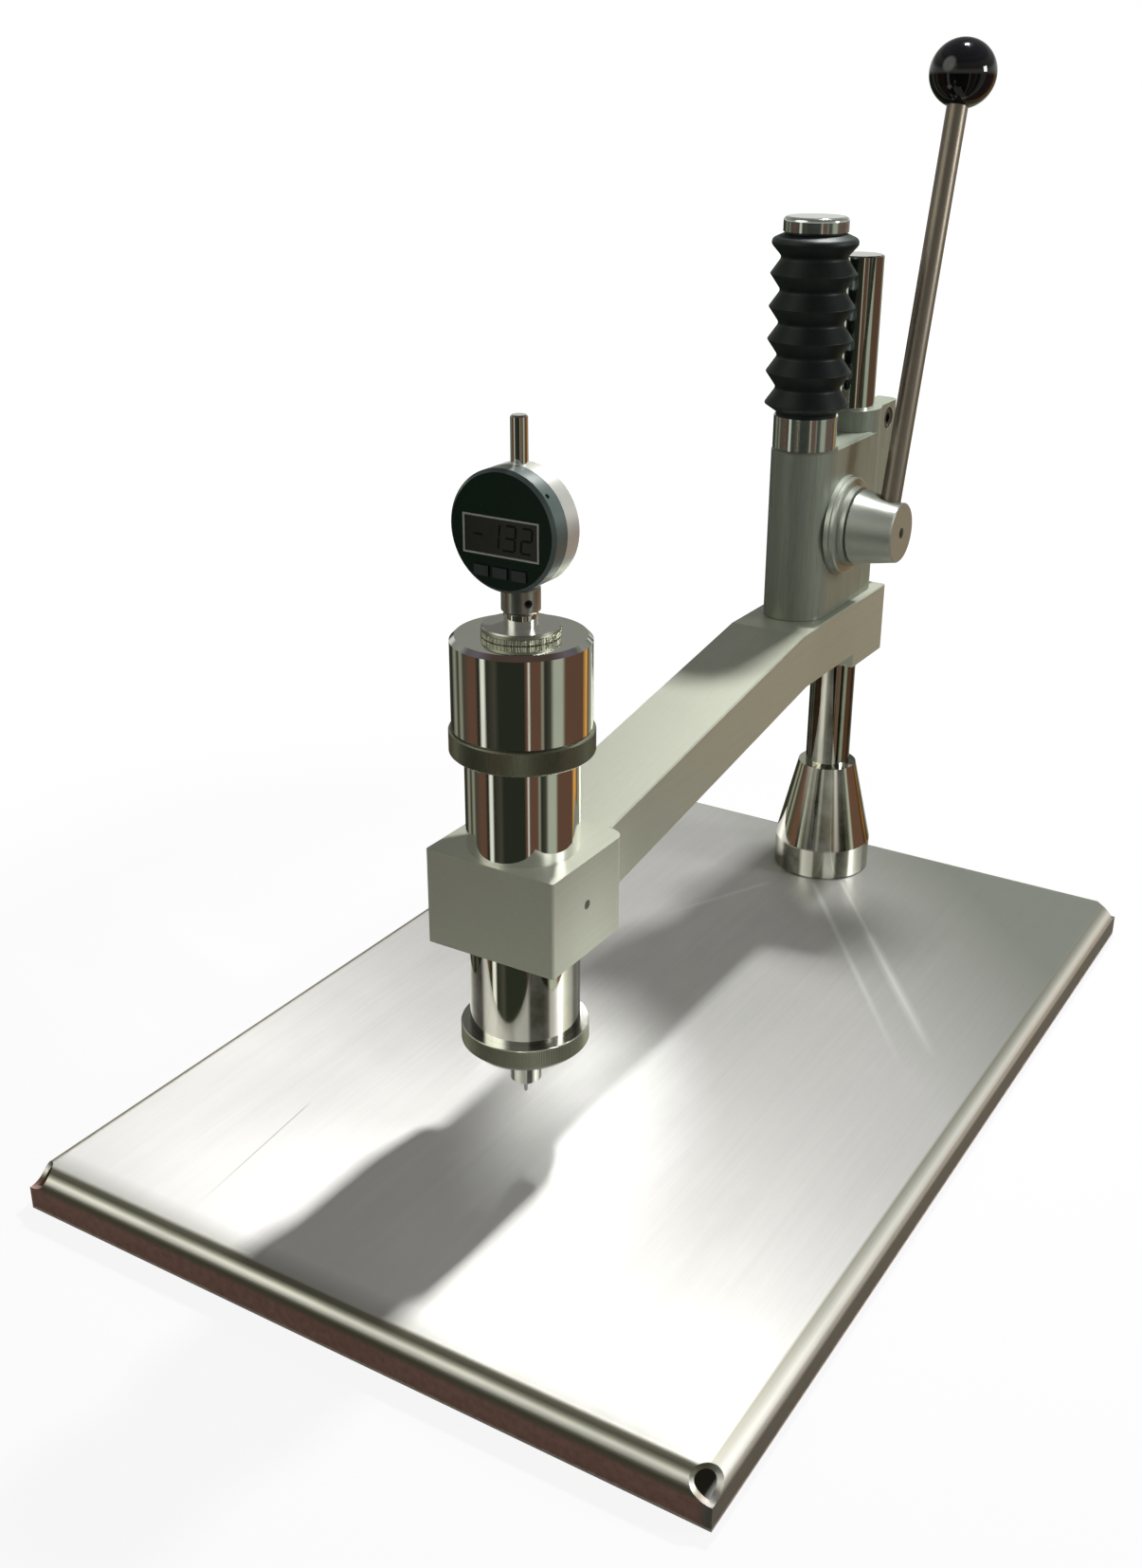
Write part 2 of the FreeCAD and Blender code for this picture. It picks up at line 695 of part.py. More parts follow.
def make_pinion_shaft():
    module = size("gear_module")
    teeth = int(size("pinion_teeth"))
    angle = math.radians(size("pressure_angle"))
    pitch_radius = size(PITCH_RADIUS)
    base_radius = pitch_radius * math.cos(angle)
    tip_radius = pitch_radius + module
    root_radius = pitch_radius - 1.25 * module
    half_tooth = math.pi / 2 / teeth - size("gear_backlash") / 4 / pitch_radius

    def point(radius, turn):
        return V(0, -radius * math.cos(turn), radius * math.sin(turn))

    def half_width(radius):
        slant = math.acos(min(1, base_radius / radius))
        return half_tooth + math.tan(angle) - angle - math.tan(slant) + slant

    def arc(radius, first, last):
        return Part.Arc(point(radius, first), point(radius, (first + last) / 2),
                        point(radius, last)).toShape()

    steps = [base_radius + (tip_radius - base_radius) * k / 4 for k in range(5)]
    edges = []
    foot = half_width(base_radius)
    for tooth in range(teeth):
        middle = 2 * math.pi * tooth / teeth
        for side in (-1, 1):
            flank = [point(r, middle + side * half_width(r)) for r in steps]
            curve = Part.BSplineCurve()
            curve.interpolate(flank)
            edges.append(curve.toShape())
            edges.append(Part.makeLine(point(root_radius, middle + side * foot), flank[0]))
        width = half_width(tip_radius)
        edges.append(arc(tip_radius, middle - width, middle + width))
        edges.append(arc(root_radius, middle + foot, middle + 2 * math.pi / teeth - foot))
    face = size("pinion_face")
    gear = flat_face(edges).extrude(V(face, 0, 0))
    gear.translate(V(-face / 2, 0, 0))

    def rod(diameter, start, end):
        return Part.makeCylinder(size(diameter) / 2, end - start, V(start, 0, 0), V(1, 0, 0))

    shoulder = size(FLANGE_END) + size("hub_gap") / 2
    end = size(f"{HUB_START} + hub_bore_depth - seat_gap")
    left = -size(f"{HALF_HOUSING} - 1")
    shaft = rod("journal_diameter", left, shoulder).fuse(rod("shaft_seat_diameter", shoulder, end))
    shaft = shaft.fuse(gear).removeSplitter()
    width = size("key_width + 2 * fixed_gap")
    depth = size("shaft_seat_diameter")
    slot = Part.makeBox(size("key_length + 3"), width, depth,
                        V(size(HUB_START), -width / 2, -depth - size(KEY_LEVEL)))
    slot.rotate(V(), V(-1, 0, 0), size("lever_lean"))
    shaped("pinion_shaft", shaft.cut(slot), ("0", PINION_Y, PINION_Z))


def make_ram():
    """The ram with its rack, seen from the pinion's level."""
    module = size("gear_module")
    slope = math.tan(math.radians(size("pressure_angle")))
    pitch = math.pi * module
    line = size("rack_line")
    crest = line + module
    root = line - 1.25 * module
    radius = size("ram_diameter") / 2
    reach = size("mesh_reach")
    low = -math.ceil(reach / pitch)
    high = math.ceil((reach + size("ram_travel")) / pitch)
    gap = pitch / 4 + size("gear_backlash") / 4
    wide = gap + module * slope
    narrow = gap - 1.25 * module * slope
    comb = [(radius + 1, (low - 0.5) * pitch), (crest, (low - 0.5) * pitch)]
    for k in range(low, high + 1):
        comb += [(crest, k * pitch - wide), (root, k * pitch - narrow)]
        comb += [(root, k * pitch + narrow), (crest, k * pitch + wide)]
    comb += [(crest, (high + 0.5) * pitch), (radius + 1, (high + 0.5) * pitch)]
    corners = [V(-radius - 1, y, z) for y, z in comb]
    teeth = Part.Face(Part.makePolygon(corners + corners[:1])).extrude(V(2 * radius + 2, 0, 0))

    bottom = size(f"{RAM_BOTTOM} - {PINION_Z}")
    shoulder = size(f"{RAM_SHOULDER} - {PINION_Z}")
    top = size(f"{CAP_BOTTOM} - seat_gap - {PINION_Z}")
    body = Part.makeCylinder(radius, shoulder - bottom, V(0, 0, bottom))
    body = body.fuse(Part.makeCylinder(size("ram_spigot_diameter / 2"), top - shoulder,
                                       V(0, 0, shoulder)))
    body = body.cut(teeth)
    hole = Part.makeCylinder(size("ram_screw_diameter / 2 + fixed_gap"), size("2 * ram_screw_diameter"),
                             V(0, 0, bottom))
    shaped("ram", body.cut(hole), ("0", RAM_Y, PINION_Z))


def make_cap():
    hole = "(ram_spigot_diameter / 2 + fixed_gap)"
    body = turned("ram_cap", "z", ("0", RAM_Y, CAP_BOTTOM), [
        (hole, "-cap_neck_length"),
        ("neck_diameter / 2", "-cap_neck_length"),
        ("neck_diameter / 2", "0"),
        ("cap_diameter / 2", "0"),
        ("cap_diameter / 2", "cap_height"),
        ("0", "cap_height"),
        ("0", "0"),
        (hole, "0"),
    ])
    top = size("cap_height")
    finish_edges(body, "Fillet", "cap_edge_radius", lambda edge: at_level(edge, top))


def rounded_path(points, radii):
    """Lines through the points, with an arc of the given radius at each corner between."""
    edges = []
    start = points[0]
    for index in range(1, len(points) - 1):
        corner = points[index]
        back = (points[index - 1] - corner).normalize()
        ahead = (points[index + 1] - corner).normalize()
        half = back.getAngle(ahead) / 2
        reach = radii[index] / math.tan(half)
        bulge = radii[index] / math.sin(half) - radii[index]
        first = corner + back * reach
        last = corner + ahead * reach
        middle = corner + (back + ahead).normalize() * bulge
        edges.append(Part.makeLine(start, first))
        edges.append(Part.Arc(first, middle, last).toShape())
        start = last
    edges.append(Part.makeLine(start, points[-1]))
    return edges


def make_bellows():
    length = size("bellows_length")
    folds = int(size("bellows_folds"))
    first = size("bellows_first_fold")
    pitch = (length - first - size("bellows_last_fold")) / (folds - 1)
    wall = size("bellows_wall")
    end = size("neck_diameter / 2 + fixed_gap") + wall
    peak = size("bellows_peak_diameter / 2")
    valley = size("bellows_valley_diameter / 2")
    cuff = size("bellows_cuff")
    points = [V(end, 0, 0), V(end, 0, cuff)]
    radii = [0, 1]
    for fold in range(folds):
        points.append(V(peak, 0, first + fold * pitch))
        radii.append(size("bellows_peak_round"))
        if fold < folds - 1:
            points.append(V(valley, 0, first + (fold + 0.5) * pitch))
            radii.append(size("bellows_valley_round"))
    points += [V(end, 0, length - cuff), V(end, 0, length)]
    radii += [1, 0]
    outside = rounded_path(points, radii)
    inside = rounded_path([p - V(wall, 0, 0) for p in points], radii)
    ends = [Part.makeLine(p, p - V(wall, 0, 0)) for p in (points[0], points[-1])]
    solid = flat_face(outside + inside + ends).revolve(V(), V(0, 0, 1), 360)
    shaped("bellows", solid, ("0", RAM_Y, f"{GUIDE_TOP} + fixed_gap"))


def make_spring(name, at, diameter, wire, turns, length):
    """A compression spring that stands on its origin; its wire's section has many flats."""
    thickness = size(wire)
    radius = (size(diameter) - thickness) / 2
    height = size(length) - thickness
    helix = Part.makeHelix(height / size(turns), height, radius)
    helix.translate(V(0, 0, thickness / 2))
    middle = V(radius, 0, thickness / 2)
    sides = range(14)
    corners = []
    for index in sides:
        angle = 2 * math.pi * index / len(sides)
        corners.append(middle + V(math.cos(angle), 0, math.sin(angle)) * (thickness / 2))
    profile = Part.makePolygon(corners + corners[:1])
    coil = Part.Wire(helix).makePipeShell([profile], True, True)
    shaped(name, coil, at)


def make_return_spring():
    make_spring("return_spring", ("0", RAM_Y, f"{GUIDE_TOP} + neck_length"),
                "return_spring_diameter", "return_spring_wire", "return_spring_turns",
                f"{RAM_SHOULDER} - {GUIDE_TOP} - neck_length")


# Lever

def make_lever():
    lean = (V(-1, 0, 0), "lever_lean")
    seat = "(shaft_seat_diameter / 2 + fixed_gap)"
    hub = turned("lever_hub", "x", (HUB_START, PINION_Y, PINION_Z), across([
        (seat, "0"),
        ("hub_base_diameter / 2 - edge_break", "0"),
        ("hub_base_diameter / 2", "edge_break"),
        ("hub_end_diameter / 2", "hub_length - edge_break"),
        ("hub_end_diameter / 2 - edge_break", "hub_length"),
        ("hub_thread_diameter / 2", "hub_length"),
        ("hub_thread_diameter / 2", "hub_bore_depth"),
        (seat, "hub_bore_depth"),
    ]), turn=lean)
    bore(hub, "lever_recess_diameter / 2", "hub_base_diameter",
         ("lever_inset", "0", "lever_recess_level"))
    bore(hub, "lever_diameter / 2 + fixed_gap", "hub_base_diameter",
         ("lever_inset", "0", "shaft_seat_diameter / 2 - 1"))
    block(hub, "Subtractive",
          ("0", "-key_width / 2 - fixed_gap", f"-{KEY_LEVEL} - key_width - fixed_gap"),
          ("key_length + 3", "key_width + 2 * fixed_gap", "key_width + fixed_gap"))

    key = new_body("hub_key")
    block(key, "Additive", ("2", "-key_width / 2", f"-{KEY_LEVEL} - key_width"),
          ("key_length", "key_width", "key_width"))
    place(key, (HUB_START, PINION_Y, PINION_Z), lean)

    rod = "lever_diameter / 2"
    bottom = "shaft_seat_diameter / 2 + seat_gap"
    top = "lever_length - knob_thread_start"
    turned("lever_rod", "z", (LEVER_X, PINION_Y, PINION_Z), [
        ("0", bottom),
        (f"{rod} - edge_break", bottom),
        (rod, f"{bottom} + edge_break"),
        (rod, f"{top} - edge_break"),
        (f"{rod} - edge_break", top),
        ("0", top),
    ], turn=lean)

    knob = new_body("lever_knob")
    primitive(knob, "AdditiveSphere", ("0", "0", "0"), Radius="knob_diameter / 2")
    block(knob, "Subtractive", ("-knob_diameter / 2", "-knob_diameter / 2", "-knob_diameter"),
          ("knob_diameter", "knob_diameter", "knob_diameter - knob_flat"))
    bore(knob, "lever_diameter / 2 + fixed_gap", "knob_diameter - knob_thread_start + seat_gap",
         ("0", "0", "-knob_diameter"))
    place(knob, (LEVER_X, f"{PINION_Y} + lever_length * sin(lever_lean)",
                 f"{PINION_Z} + lever_length * cos(lever_lean)"), lean)


# Arm

def make_arm():
    joint = "(head_reach - block_back + 1)"
    body = extruded("arm", "YZ_Plane", [
        ("arm_back", "0"),
        ("arm_back", "-arm_thickness - guide_boss_drop"),
        ("-guide_boss_front", "-arm_thickness - guide_boss_drop"),
        ("-guide_boss_front", "-arm_thickness"),
        ("-arm_under_flat", "-arm_thickness"),
        (f"-{joint}", f"-arm_thickness - ({joint} - arm_under_flat) * tan(arm_slope)"),
        (f"-{joint}", f"-({joint} - arm_flat) * tan(arm_slope)"),
        ("-arm_flat", "0"),
    ], "arm_width", ("0", COLUMN_Y, ARM_TOP))
    finish_edges(body, "Chamfer", "edge_break",
                 lambda edge: edge.BoundBox.XLength < 1e-6 and not upright(edge)
                 and edge.BoundBox.ZMax > -1e-6)
    block(body, "Additive",
          ("-block_width / 2", "-head_reach - block_front", "-block_drop - block_height"),
          ("block_width", "block_front + block_back", "block_height"))
    rear = size("block_back - head_reach")
    half = size("block_width / 2")

    def block_corner(edge, y):
        box = edge.BoundBox
        return upright(edge) and abs(abs(box.XMax) - half) < 1e-6 and abs(box.YMax - y) < 1e-6

    finish_edges(body, "Fillet", "(block_width - arm_width) / 2 - block_corner_room",
                 lambda edge: block_corner(edge, rear))
    front = size("-head_reach - block_front")
    finish_edges(body, "Chamfer", "block_edge", lambda edge: block_corner(edge, front))
    depth = "(arm_thickness + guide_boss_drop)"
    bore(body, "column_diameter / 2 + column_bush_wall", depth, ("0", "0", f"-{depth}"))
    bore(body, "ram_diameter / 2 + fixed_gap", "ram_socket_depth",
         ("0", "-ram_offset", "-ram_socket_depth"))
    bore(body, "ram_screw_diameter / 2 + seat_gap", "arm_thickness",
         ("0", "-ram_offset", "-arm_thickness"))
    bore(body, "screw_head_diameter / 2 + 1", "ram_screw_seat",
         ("0", "-ram_offset", "-arm_thickness"))
    bore(body, "tube_diameter / 2 + fixed_gap", "block_height",
         ("0", "-head_reach", "-block_drop - block_height"))
    bore(body, "grub_screw_diameter / 2 + fixed_gap", "block_width / 2",
         ("0", "-head_reach", "-block_drop - grub_screw_level"), "x")


def make_arm_fittings():
    depth = "(arm_thickness + guide_boss_drop)"
    turned("arm_bush", "z", ("0", COLUMN_Y, f"{ARM_TOP} - {depth}"),
           ring("(column_diameter / 2 + running_gap)",
                "(column_diameter / 2 + column_bush_wall - fixed_gap)", "0", depth, "0.4"))
    head_level = f"{ARM_TOP} - arm_thickness + ram_screw_seat - screw_head_height"
    cap_screw("ram_screw", "z", ("0", RAM_Y, head_level), "ram_screw_diameter",
              "screw_head_diameter", "screw_head_height",
              "(arm_thickness - ram_screw_seat - ram_socket_depth + 1.6 * ram_screw_diameter)")
    tip = "tube_diameter / 2"
    radius = "grub_screw_diameter / 2"
    turned("grub_screw", "x", ("0", HEAD_Y, f"{BLOCK_TOP} - grub_screw_level"), [
        (tip, "0"),
        (tip, f"{radius} - 1"),
        (f"{tip} + 1", radius),
        (f"{tip} + grub_screw_length", radius),
        (f"{tip} + grub_screw_length", "grub_socket_width / 2"),
        (f"{tip} + grub_screw_length / 2", "grub_socket_width / 2"),
        (f"{tip} + grub_screw_length / 2", "0"),
    ])


# Measuring head

def make_head():
    outer = "tube_diameter / 2"
    inner = "(tube_diameter / 2 - tube_wall)"
    fit = f"({outer} + fixed_gap)"
    turned("head_tube", "z", ("0", HEAD_Y, TUBE_BOTTOM),
           ring(inner, outer, "0", f"({TUBE_TOP} - {TUBE_BOTTOM})", "0.4"))

    nose = "(nose_diameter / 2 + fixed_gap)"
    radius = "bottom_ring_diameter / 2"
    turned("bottom_ring", "z", ("0", HEAD_Y, BOTTOM_RING_BOTTOM), [
        (nose, "0"),
        (f"{radius} - bottom_ring_chamfer", "0"),
        (radius, "bottom_ring_chamfer"),
        (radius, "bottom_ring_height - edge_break"),
        (f"{radius} - edge_break", "bottom_ring_height"),
        (fit, "bottom_ring_height"),
        (fit, "bottom_ring_floor"),
        (nose, "bottom_ring_floor"),
    ])

    step = f"({TUBE_BOTTOM} - {NOSE_BOTTOM})"
    turned("nose", "z", ("0", HEAD_Y, NOSE_BOTTOM), [
        ("needle_diameter / 2 + running_gap", "0"),
        ("nose_diameter / 2 - nose_chamfer", "0"),
        ("nose_diameter / 2", "nose_chamfer"),
        ("nose_diameter / 2", step),
        (f"{inner} - fixed_gap", step),
        (f"{inner} - fixed_gap", f"{step} + nose_flange_height"),
        ("plunger_diameter / 2 + running_gap", f"{step} + nose_flange_height"),
        ("plunger_diameter / 2 + running_gap", "nose_floor"),
        ("needle_diameter / 2 + running_gap", "nose_floor"),
    ])

    guides = {
        "lower_guide": f"{TUBE_BOTTOM} + nose_flange_height",
        "upper_guide": UPPER_GUIDE,
    }
    for name, level in guides.items():
        turned(name, "z", ("0", HEAD_Y, level),
               ring("(plunger_diameter / 2 + running_gap)", f"({inner} - fixed_gap)",
                    "0", "guide_thickness", "0.4"))

    turned("cup_ring", "z", ("0", HEAD_Y, f"{CUP_BOTTOM} - cup_ring_height"),
           ring(fit, "cup_ring_diameter / 2", "0", "cup_ring_height"))

    roof = "(cup_height - cup_top)"
    sleeve = "(sleeve_diameter / 2 + fixed_gap)"
    turned("top_cup", "z", ("0", HEAD_Y, CUP_BOTTOM), [
        (fit, "0"),
        ("cup_diameter / 2 - edge_break", "0"),
        ("cup_diameter / 2", "edge_break"),
        ("cup_diameter / 2", "cup_height - cup_chamfer"),
        ("cup_diameter / 2 - cup_chamfer", "cup_height"),
        (sleeve, "cup_height"),
        (sleeve, roof),
        (fit, roof),
    ])

    turned("lock_disc", "z", ("0", HEAD_Y, CUP_TOP),
           ring(sleeve, "lock_disc_diameter / 2", "0", "lock_disc_height"))

    bottom = f"({TUBE_TOP} - sleeve_flange_height)"
    stem = "(gauge_stem_diameter / 2 + fixed_gap)"
    turned("stem_sleeve", "z", ("0", HEAD_Y, bottom), [
        (stem, "0"),
        ("sleeve_flange_diameter / 2", "0"),
        ("sleeve_flange_diameter / 2", "sleeve_flange_height"),
        ("sleeve_diameter / 2", "sleeve_flange_height"),
        ("sleeve_diameter / 2", f"{SLEEVE_TOP} - {bottom}"),
        (stem, f"{SLEEVE_TOP} - {bottom}"),
    ])

    aim = (V(0, 0, -1), "collar_screw_angle")
    collar = turned("stem_collar", "z", ("0", HEAD_Y, SLEEVE_TOP), [
        (stem, "0"),
        ("collar_diameter / 2 - 1.5", "0"),
        ("collar_diameter / 2", "1.5"),
        ("collar_diameter / 2", "collar_height - 0.5"),
        ("collar_diameter / 2 - 0.5", "collar_height"),
        (stem, "collar_height"),
    ], turn=aim)
    bore(collar, "collar_screw_diameter / 2 + fixed_gap", "collar_diameter",
         ("0", "0", "collar_height / 2"), "x")
    start = "gauge_stem_diameter / 2"
    radius = "collar_screw_diameter / 2"
    turned("collar_screw", "x", ("0", HEAD_Y, f"{SLEEVE_TOP} + collar_height / 2"), [
        (start, "0"),
        (start, f"{radius} - 0.5"),
        (f"{start} + 0.5", radius),
        (f"{start} + collar_screw_length", radius),
        (f"{start} + collar_screw_length", "grub_socket_width / 2"),
        (f"{start} + collar_screw_length / 2", "grub_socket_width / 2"),
        (f"{start} + collar_screw_length / 2", "0"),
    ], turn=aim)


def make_plunger():
    turned("needle", "z", ("0", HEAD_Y, NEEDLE_TIP), [
        ("0", "0"),
        ("needle_diameter / 4", "0"),
        ("needle_diameter / 2", "needle_diameter / 2"),
        ("needle_diameter / 2", "needle_reach + needle_depth"),
        ("0", "needle_reach + needle_depth"),
    ])
    hole = "(needle_diameter / 2 + fixed_gap)"
    depth = f"(needle_depth + {NOSE_BOTTOM} - {PLUNGER_BOTTOM} + seat_gap)"
    rod = "plunger_diameter / 2"
    collar = "plunger_collar_diameter / 2"
    height = f"({PLUNGER_TOP} - {PLUNGER_BOTTOM})"
    turned("plunger", "z", ("0", HEAD_Y, PLUNGER_BOTTOM), [
        (hole, "0"),
        (f"{rod} - edge_break", "0"),
        (rod, "edge_break"),
        (rod, "plunger_collar_level"),
        (collar, "plunger_collar_level"),
        (collar, "plunger_collar_level + plunger_collar_height"),
        (rod, "plunger_collar_level + plunger_collar_height"),
        (rod, f"{height} - edge_break"),
        (f"{rod} - edge_break", height),
        ("0", height),
        ("0", depth),
        (hole, depth),
    ])
    base = f"{COLLAR_LEVEL} + plunger_collar_height"
    make_spring("main_spring", ("0", HEAD_Y, base), "main_spring_diameter",
                "main_spring_wire", "main_spring_turns", f"{UPPER_GUIDE} - ({base})")
    rise = f"({GAUGE_Z} + spindle_rise - {PLUNGER_TOP})"
    turned("spindle", "z", ("0", HEAD_Y, PLUNGER_TOP), [
        ("0", "0"),
        ("contact_diameter / 4", "0"),
        ("contact_diameter / 2", "contact_diameter / 4"),
        ("contact_diameter / 2", "contact_height"),
        ("spindle_diameter / 2", "contact_height"),
        ("spindle_diameter / 2", f"{rise} - 0.5"),
        ("spindle_diameter / 2 - 0.5", rise),
        ("0", rise),
    ])


# Indicator

def make_gauge_case():
    radius = "(gauge_diameter / 2)"
    inner = f"({radius} - case_wall)"
    case = turned("gauge_case", "y", ("0", HEAD_Y, GAUGE_Z), across([
        (inner, "-case_front"),
        (radius, "-case_front"),
        (radius, "case_back - edge_break"),
        (f"{radius} - edge_break", "case_back"),
        ("0", "case_back"),
        ("0", "case_back - case_wall"),
        (inner, "case_back - case_wall"),
    ]))
    bore(case, "gauge_stem_diameter / 2 + fixed_gap", "case_wall + 2",
         ("0", "0", f"-{radius} - 1"))
    bore(case, "guard_diameter / 2 + fixed_gap", "guard_seat + 1",
         ("0", "0", f"{radius} - guard_seat"))
    bore(case, "spindle_diameter / 2 + running_gap", "case_wall + 1",
         ("0", "0", f"{inner} - 0.5"))
    turned("gauge_back_cover", "y", ("0", HEAD_Y, GAUGE_Z), across([
        ("0", "case_back"),
        ("back_cover_diameter / 2", "case_back"),
        ("back_cover_diameter / 2", "case_back + back_cover_thickness - edge_break"),
        ("back_cover_diameter / 2 - edge_break", "case_back + back_cover_thickness"),
        ("0", "case_back + back_cover_thickness"),
    ]))

    top = f"({GAUGE_Z} - {radius} + case_wall)"
    turned("gauge_stem", "z", ("0", HEAD_Y, f"{COLLAR_TOP} - gauge_stem_length"), [
        ("spindle_diameter / 2 + running_gap", "0"),
        ("gauge_stem_diameter / 2 - 0.5", "0"),
        ("gauge_stem_diameter / 2", "0.5"),
        ("gauge_stem_diameter / 2", f"{top} - {COLLAR_TOP} + gauge_stem_length"),
        ("spindle_diameter / 2 + running_gap", f"{top} - {COLLAR_TOP} + gauge_stem_length"),
    ])
    turned("spindle_guard", "z", ("0", HEAD_Y, f"{GAUGE_Z} + {radius} - guard_seat"), [
        ("guard_bore / 2", "0"),
        ("guard_diameter / 2", "0"),
        ("guard_diameter / 2", "guard_seat + guard_height - edge_break"),
        ("guard_diameter / 2 - edge_break", "guard_seat + guard_height"),
        ("0", "guard_seat + guard_height"),
        ("0", "guard_seat + guard_height - 1"),
        ("guard_bore / 2", "guard_seat + guard_height - 1"),
    ])


def make_bezel():
    radius = "gauge_diameter / 2"
    front = f"(-{FACE_DEPTH})"
    seat = FACE_RADIUS
    ledge = f"({seat} - bezel_wall)"
    body = turned("gauge_bezel", "y", ("0", HEAD_Y, GAUGE_Z), across([
        (f"{seat} + fixed_gap", front),
        (radius, f"{front} + bezel_bevel"),
        (radius, "-case_front - bezel_gap"),
        (f"{radius} - 1", "-case_front - bezel_gap"),
        (f"{radius} - 1", "-case_front"),
        (ledge, "-case_front"),
        (ledge, f"{front} + face_thickness"),
        (f"{seat} + fixed_gap", f"{front} + face_thickness"),
    ]), turn=(V(0, -1, 0), "bezel_screw_angle"))
    bore(body, "bezel_screw_diameter / 2", "2",
         ("gauge_diameter / 2 - 1.2", f"{front} + bezel_depth * 0.4", "0"), "x")


def make_face():
    front = f"(-{FACE_DEPTH})"
    seat = FACE_RADIUS
    body = turned("gauge_face", "y", ("0", HEAD_Y, GAUGE_Z), across([
        ("0", front),
        (seat, front),
        (seat, f"{front} + face_thickness"),
        ("0", f"{front} + face_thickness"),
    ]))
    block(body, "Subtractive",
          (f"display_shift - {DISPLAY_WIDTH} / 2 - fixed_gap", front,
           "display_lift - display_height / 2 - fixed_gap"),
          (f"{DISPLAY_WIDTH} + 2 * fixed_gap", "face_thickness",
           "display_height + 2 * fixed_gap"))
    for step in KEYS.values():
        block(body, "Subtractive",
              (f"key_shift + {step} * {KEY_SPACING} - key_plate_width / 2 - key_gap", front,
               f"-{KEY_DROP} - key_plate_height / 2 - key_gap"),
              ("key_plate_width + 2 * key_gap", "face_thickness",
               "key_plate_height + 2 * key_gap"))


def make_display():
    front = f"(-{FACE_DEPTH} - display_raise)"
    middle = ("display_shift", "display_lift")
    frame = new_body("display_frame")
    block(frame, "Additive",
          (f"{middle[0]} - {DISPLAY_WIDTH} / 2", front, f"{middle[1]} - display_height / 2"),
          (DISPLAY_WIDTH, "display_raise + face_thickness", "display_height"))
    block(frame, "Subtractive",
          (f"{middle[0]} - {DISPLAY_WIDTH} / 2 + display_border", front,
           f"{middle[1]} - display_height / 2 + display_border"),
          (f"{DISPLAY_WIDTH} - 2 * display_border", "display_raise + face_thickness",
           "display_height - 2 * display_border"))
    place(frame, ("0", HEAD_Y, GAUGE_Z))
    panel = new_body("display_panel")
    block(panel, "Additive",
          (f"{middle[0]} - {DISPLAY_WIDTH} / 2 + display_border + fixed_gap",
           f"{front} + display_recess",
           f"{middle[1]} - display_height / 2 + display_border + fixed_gap"),
          (f"{DISPLAY_WIDTH} - 2 * display_border - 2 * fixed_gap",
           "display_raise + face_thickness + board_setback - display_recess",
           "display_height - 2 * display_border - 2 * fixed_gap"))
    place(panel, ("0", HEAD_Y, GAUGE_Z))


def make_board():
    back = f"(face_thickness + board_setback + board_thickness - {FACE_DEPTH})"
    outer = "(gauge_diameter / 2 - bezel_bevel - bezel_wall - fixed_gap)"
    turned("circuit_board", "y", ("0", HEAD_Y, GAUGE_Z), across([
        ("0", f"{back} - board_thickness"),
        (outer, f"{back} - board_thickness"),
        (outer, back),
        ("0", back),
    ]))
    turned("button_cell", "y", ("0", HEAD_Y, f"{GAUGE_Z} + cell_lift"), across([
        ("0", back),
        ("cell_diameter / 2", back),
        ("cell_diameter / 2", f"{back} + cell_thickness"),
        ("0", f"{back} + cell_thickness"),
    ]))


def make_keys():
    front = f"(-{FACE_DEPTH} - key_plate_raise)"
    for name, step in KEYS.items():
        body = new_body(name)
        block(body, "Additive",
              ("-key_plate_width / 2", front, "-key_plate_height / 2"),
              ("key_plate_width", "key_plate_raise + face_thickness - key_travel",
               "key_plate_height"))
        primitive(body, "AdditiveCylinder", ("0", front, "0"), "y",
                  Radius="key_stem_diameter / 2",
                  Height="key_plate_raise + face_thickness + board_setback - key_travel - 0.1")
        place(body, (f"key_shift + {step} * {KEY_SPACING}", HEAD_Y, f"{GAUGE_Z} - {KEY_DROP}"))


fill_sheet()
make_base_plate()
make_column()
make_foot()
make_foot_bolt()
make_housing()
make_clamp_screws()
make_guide_ring()
make_axle_bearings()
make_pinion_shaft()
make_ram()
make_cap()
make_bellows()
make_return_spring()
make_lever()
make_arm()
make_arm_fittings()
make_head()
make_plunger()
make_gauge_case()
make_bezel()
make_face()
make_display()
make_board()
make_keys()
doc.recompute()

for thing in doc.Objects:
    state = " ".join(thing.State)
    if "Invalid" in state or "Error" in state:
        raise RuntimeError("%s did not compute: %s" % (thing.Name, state))
for piece in pieces:
    if piece.Shape.isNull() or not piece.Shape.isValid():
        raise RuntimeError("%s has no valid shape" % piece.Label)

os.makedirs("parts", exist_ok=True)
for piece in pieces:
    piece.Shape.exportStep("parts/%s.step" % piece.Label)
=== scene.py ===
import json
import math

